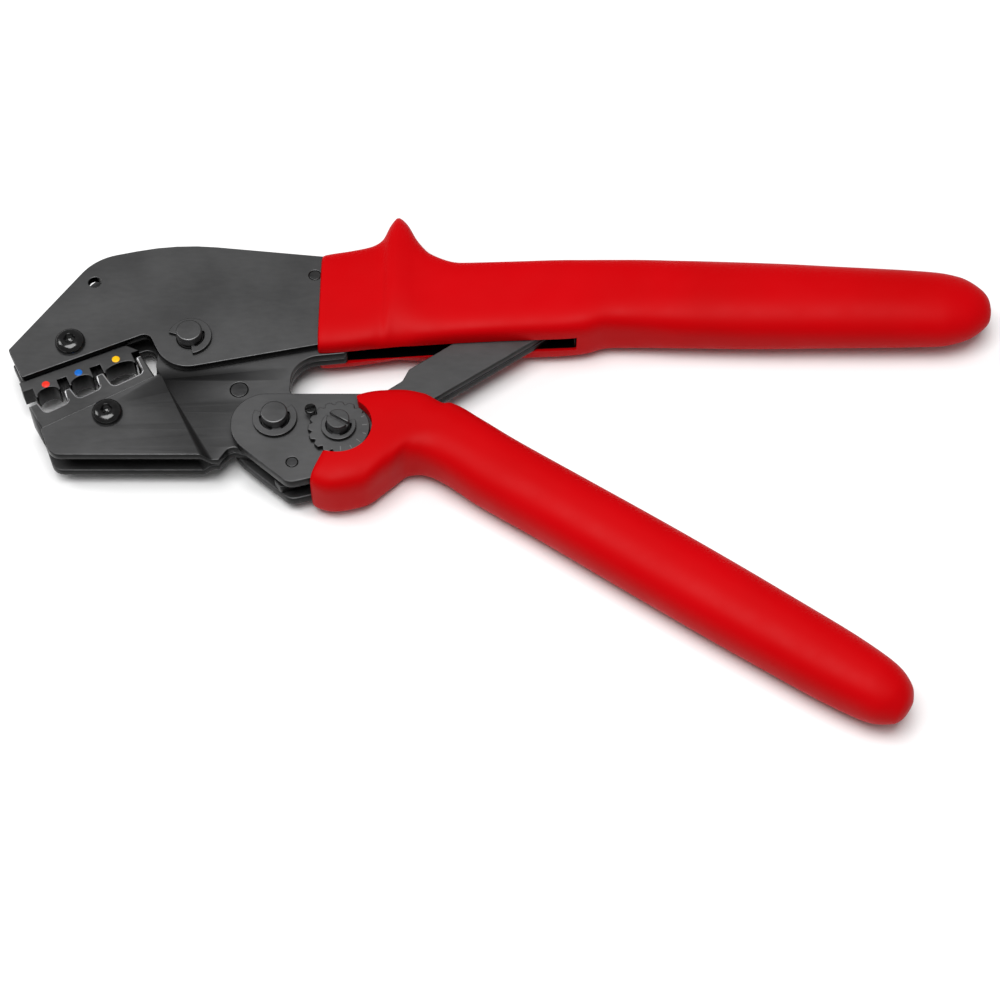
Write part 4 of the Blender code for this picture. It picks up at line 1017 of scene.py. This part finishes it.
def link_line():
    """Straight sides between a round end at the bolt, with its teeth, and a narrower end at the anchor.

    The round end is given by radius and turn: roots and tips of the teeth alternate at even turns.
    """
    pitch = (LAST_TOOTH - FIRST_TOOTH) / TEETH
    tips = [polar for k in range(TEETH) for polar in ((TOOTH_ROOT_R, FIRST_TOOTH + k * pitch),
                                                      (TOOTH_TIP_R, FIRST_TOOTH + (k + 0.5) * pitch))]
    tips.append((TOOTH_ROOT_R, LAST_TOOTH))
    line = [(21.0, -4.3, 1.0), (62.0, -5.0, 2.0), (69.6, -3.8, 3.0), (71.2, 0.4, 4.0), (69.8, 4.6, 3.0),
            (64.0, 6.6, 2.0), (25.5, 6.6, 1.5), (22.2, 4.7, 2.0), (6.5, 4.6, 1.0)]
    corners = [(*from_line(LINK_PIVOT, LINK_ANGLE, a, b), r) for a, b, r in line]
    before = [(LINK_END_R, turn) for turn in range(52, FIRST_TOOTH - 4, 6)]
    behind = [(LINK_END_R, turn) for turn in range(LAST_TOOTH + 8, 326, 6)]
    corners += [(*from_line(LINK_PIVOT, LINK_ANGLE + turn, reach, 0), 0.0)
                for reach, turn in before + tips + behind]
    return rounded(corners)


link_end = from_line(LINK_PIVOT, LINK_ANGLE, LINK_LENGTH, 0)
link_rivet = from_line(LINK_PIVOT, LINK_ANGLE, LINK_LENGTH - 12, 1)
link_loops = [link_line(), circle(LINK_PIVOT, BOLT_R + LINK_BORE_EASE), circle(link_end, ANCHOR_HOLE_R),
              circle(link_rivet, RIVET_R)]
plate_pair("link_plate", link_loops, INNER_LOW, INNER_HIGH, "link")
flush_rivet("link_rivet", link_rivet, RIVET_R - RIVET_FIT, INNER_HIGH, "link")


# Lower grip. The same red sleeve over the lower handle: a lobe wraps the wheel, a saddle behind it takes
# the fingers, and a straight handle with a blunt round end follows.
neck = [(*upper, *lower, half, square) for upper, lower, half, square in (
    ((42.4, -18.9), (32.0, -42.6), 6.9, 6), ((42.6, -18.6), (32.0, -43.2), 7.3, 6),
    ((44.0, -17.5), (32.8, -44.6), 8.0, 5), ((48.5, -16.3), (37.4, -46.0), GRIP_HALF, 4.5),
    ((54.0, -15.8), (44.5, -44.7), 8.15, 4), ((59.6, -16.9), (50.6, -39.7), 7.9, 3.8),
    ((64.9, -19.8), (55.4, -35.8), 7.7, 3.4), ((66.2, -19.5), (57.6, -35.7), 7.7, 3.2),
    ((67.6, -19.9), (60.0, -36.4), 7.8, 2.9))]
straight = [(*on_handle(along, left), *on_handle(along, right), half, square)
            for along, left, right, half, square in (
    (4, 8.2, -9.4, 7.9, 2.7), (14, 8.2, -10.0, 8.0, 2.5), (30, 8.6, -9.7, 8.0, 2.4),
    (LOWER_GRIP_STRAIGHT * 0.52, 9.3, -9.6, 7.9, 2.4), (LOWER_GRIP_STRAIGHT * 0.77, 9.2, -9.1, 7.8, 2.4),
    (LOWER_GRIP_STRAIGHT, 8.2, -7.7, 7.4, 2.3), (LOWER_GRIP_STRAIGHT + 6.0, 6.9, -6.5, 6.2, 2.1),
    (LOWER_GRIP_STRAIGHT + 9.2, 4.6, -4.6, 4.2, 2), (LOWER_GRIP_STRAIGHT + 10.4, 2.4, -2.6, 2.2, 2),
    (LOWER_GRIP_STRAIGHT + 10.6, 0.8, -1.0, 0.8, 2))]
lower_grip = make_piece("lower_grip_fine", sleeve(neck + straight), grip_finishes)
WHEEL_ROOM = 0.6
link_way = np.array([from_line(LINK_PIVOT, 8.0, -4.0, -6.2), from_line(LINK_PIVOT, 8.0, 60.0, -6.2),
                     from_line(LINK_PIVOT, 70.0, 60.0, 0), from_line(LINK_PIVOT, 70.0, 4.0, 4.0)])
lobe_tip = np.array([(38.0, -25.0), (43.4, -21.7), (42.9, -20.6), (42.7, -19.3), (43.1, -18.5),
                     (44.0, -17.9), (44.6, -16.0), (38.0, -16.0)])
handle_pocket = widened(handle_outline, POCKET_PLAY)
THROUGH = GRIP_HALF + 1
cut_away(lower_grip, plate([handle_pocket], -HANDLE_HIGH - POCKET_PLAY, HANDLE_HIGH + POCKET_PLAY, CUT_EASE),
         plate([lobe_tip], -THROUGH, THROUGH, CUT_EASE), plate([link_way], -GAP / 2, GAP / 2, CUT_EASE),
         plate([circle(LINK_PIVOT, WHEEL_R + WHEEL_ROOM)], -THROUGH, THROUGH, CUT_EASE))
settle(lower_grip, "lower_handle", "red_plastic", "lower_grip")


# Hidden hardware. The anchor pin, rivets and spacer tubes inside the grips, all of turned steel. They keep
# their plain shapes and take the plates' finish.
for node in frame["nodes"].values():
    if not node.hide_render:
        node.data.materials.clear()
        node.data.materials.append(burnished)


# Floor, light and camera. A pale studio floor under one large overhead light, a small side light and a
# soft pale surround; the camera looks down across the tool from the jaws' open side.
CAMERA_ELEVATION = 57.5
CAMERA_DISTANCE = 0.57156
CAMERA_LENS = 84.6
LOOK_AT = (-0.00118, -0.01264, 0.0082)

camera_data = bpy.data.cameras.new("studio_camera")
camera_data.lens = CAMERA_LENS
camera_data.sensor_width = 36
camera = bpy.data.objects.new("studio_camera", camera_data)
bpy.context.scene.collection.objects.link(camera)
tilt = math.radians(CAMERA_ELEVATION)
camera.location = np.add(LOOK_AT, CAMERA_DISTANCE * np.array([0, -math.cos(tilt), math.sin(tilt)]))
camera.rotation_euler = (math.pi / 2 - tilt, 0, 0)
bpy.context.scene.camera = camera
bpy.context.scene.view_settings.view_transform = "Standard"

FLOOR_HALF = 6.0
FLOOR_HEIGHT = -0.0002
floor_corners = [(x * FLOOR_HALF, y * FLOOR_HALF, FLOOR_HEIGHT)
                 for x, y in ((-1, -1), (1, -1), (1, 1), (-1, 1))]
floor_mesh = bpy.data.meshes.new("studio_floor")
floor_mesh.from_pydata(floor_corners, [], [(0, 1, 2, 3)])


def pale_floor(new, link, shader):
    """Near-white laminate with a slight sheen."""
    cloud = noise_on_object(new, link, 3, 2)
    link(colour_between(new, link, cloud, 0.2, 0.8, (0.88, 0.88, 0.88), (0.90, 0.90, 0.90)),
         shader.inputs["Base Color"])
    shader.inputs["Roughness"].default_value = 0.3


floor_mesh.materials.append(finish_with_nodes("studio_floor", pale_floor))
floor = bpy.data.objects.new("studio_floor", floor_mesh)
bpy.context.scene.collection.objects.link(floor)

world = bpy.data.worlds.new("studio_surround")
bpy.context.scene.world = world
world.use_nodes = True
world.node_tree.nodes["Background"].inputs["Color"].default_value = (1, 1, 1, 1)
world.node_tree.nodes["Background"].inputs["Strength"].default_value = 0.24


def soft_light(name, place, size, power):
    """A square area light that faces the tool."""
    data = bpy.data.lights.new(name, "AREA")
    data.size = size
    data.energy = power
    lamp = bpy.data.objects.new(name, data)
    bpy.context.scene.collection.objects.link(lamp)
    lamp.location = place
    lamp.rotation_euler = (-Vector(place)).to_track_quat("-Z", "Y").to_euler()


soft_light("overhead_light", (-0.1, -0.12, 1.25), 0.9, 18.5)
soft_light("side_light", (-0.9, 0.3, 0.8), 0.4, 3)
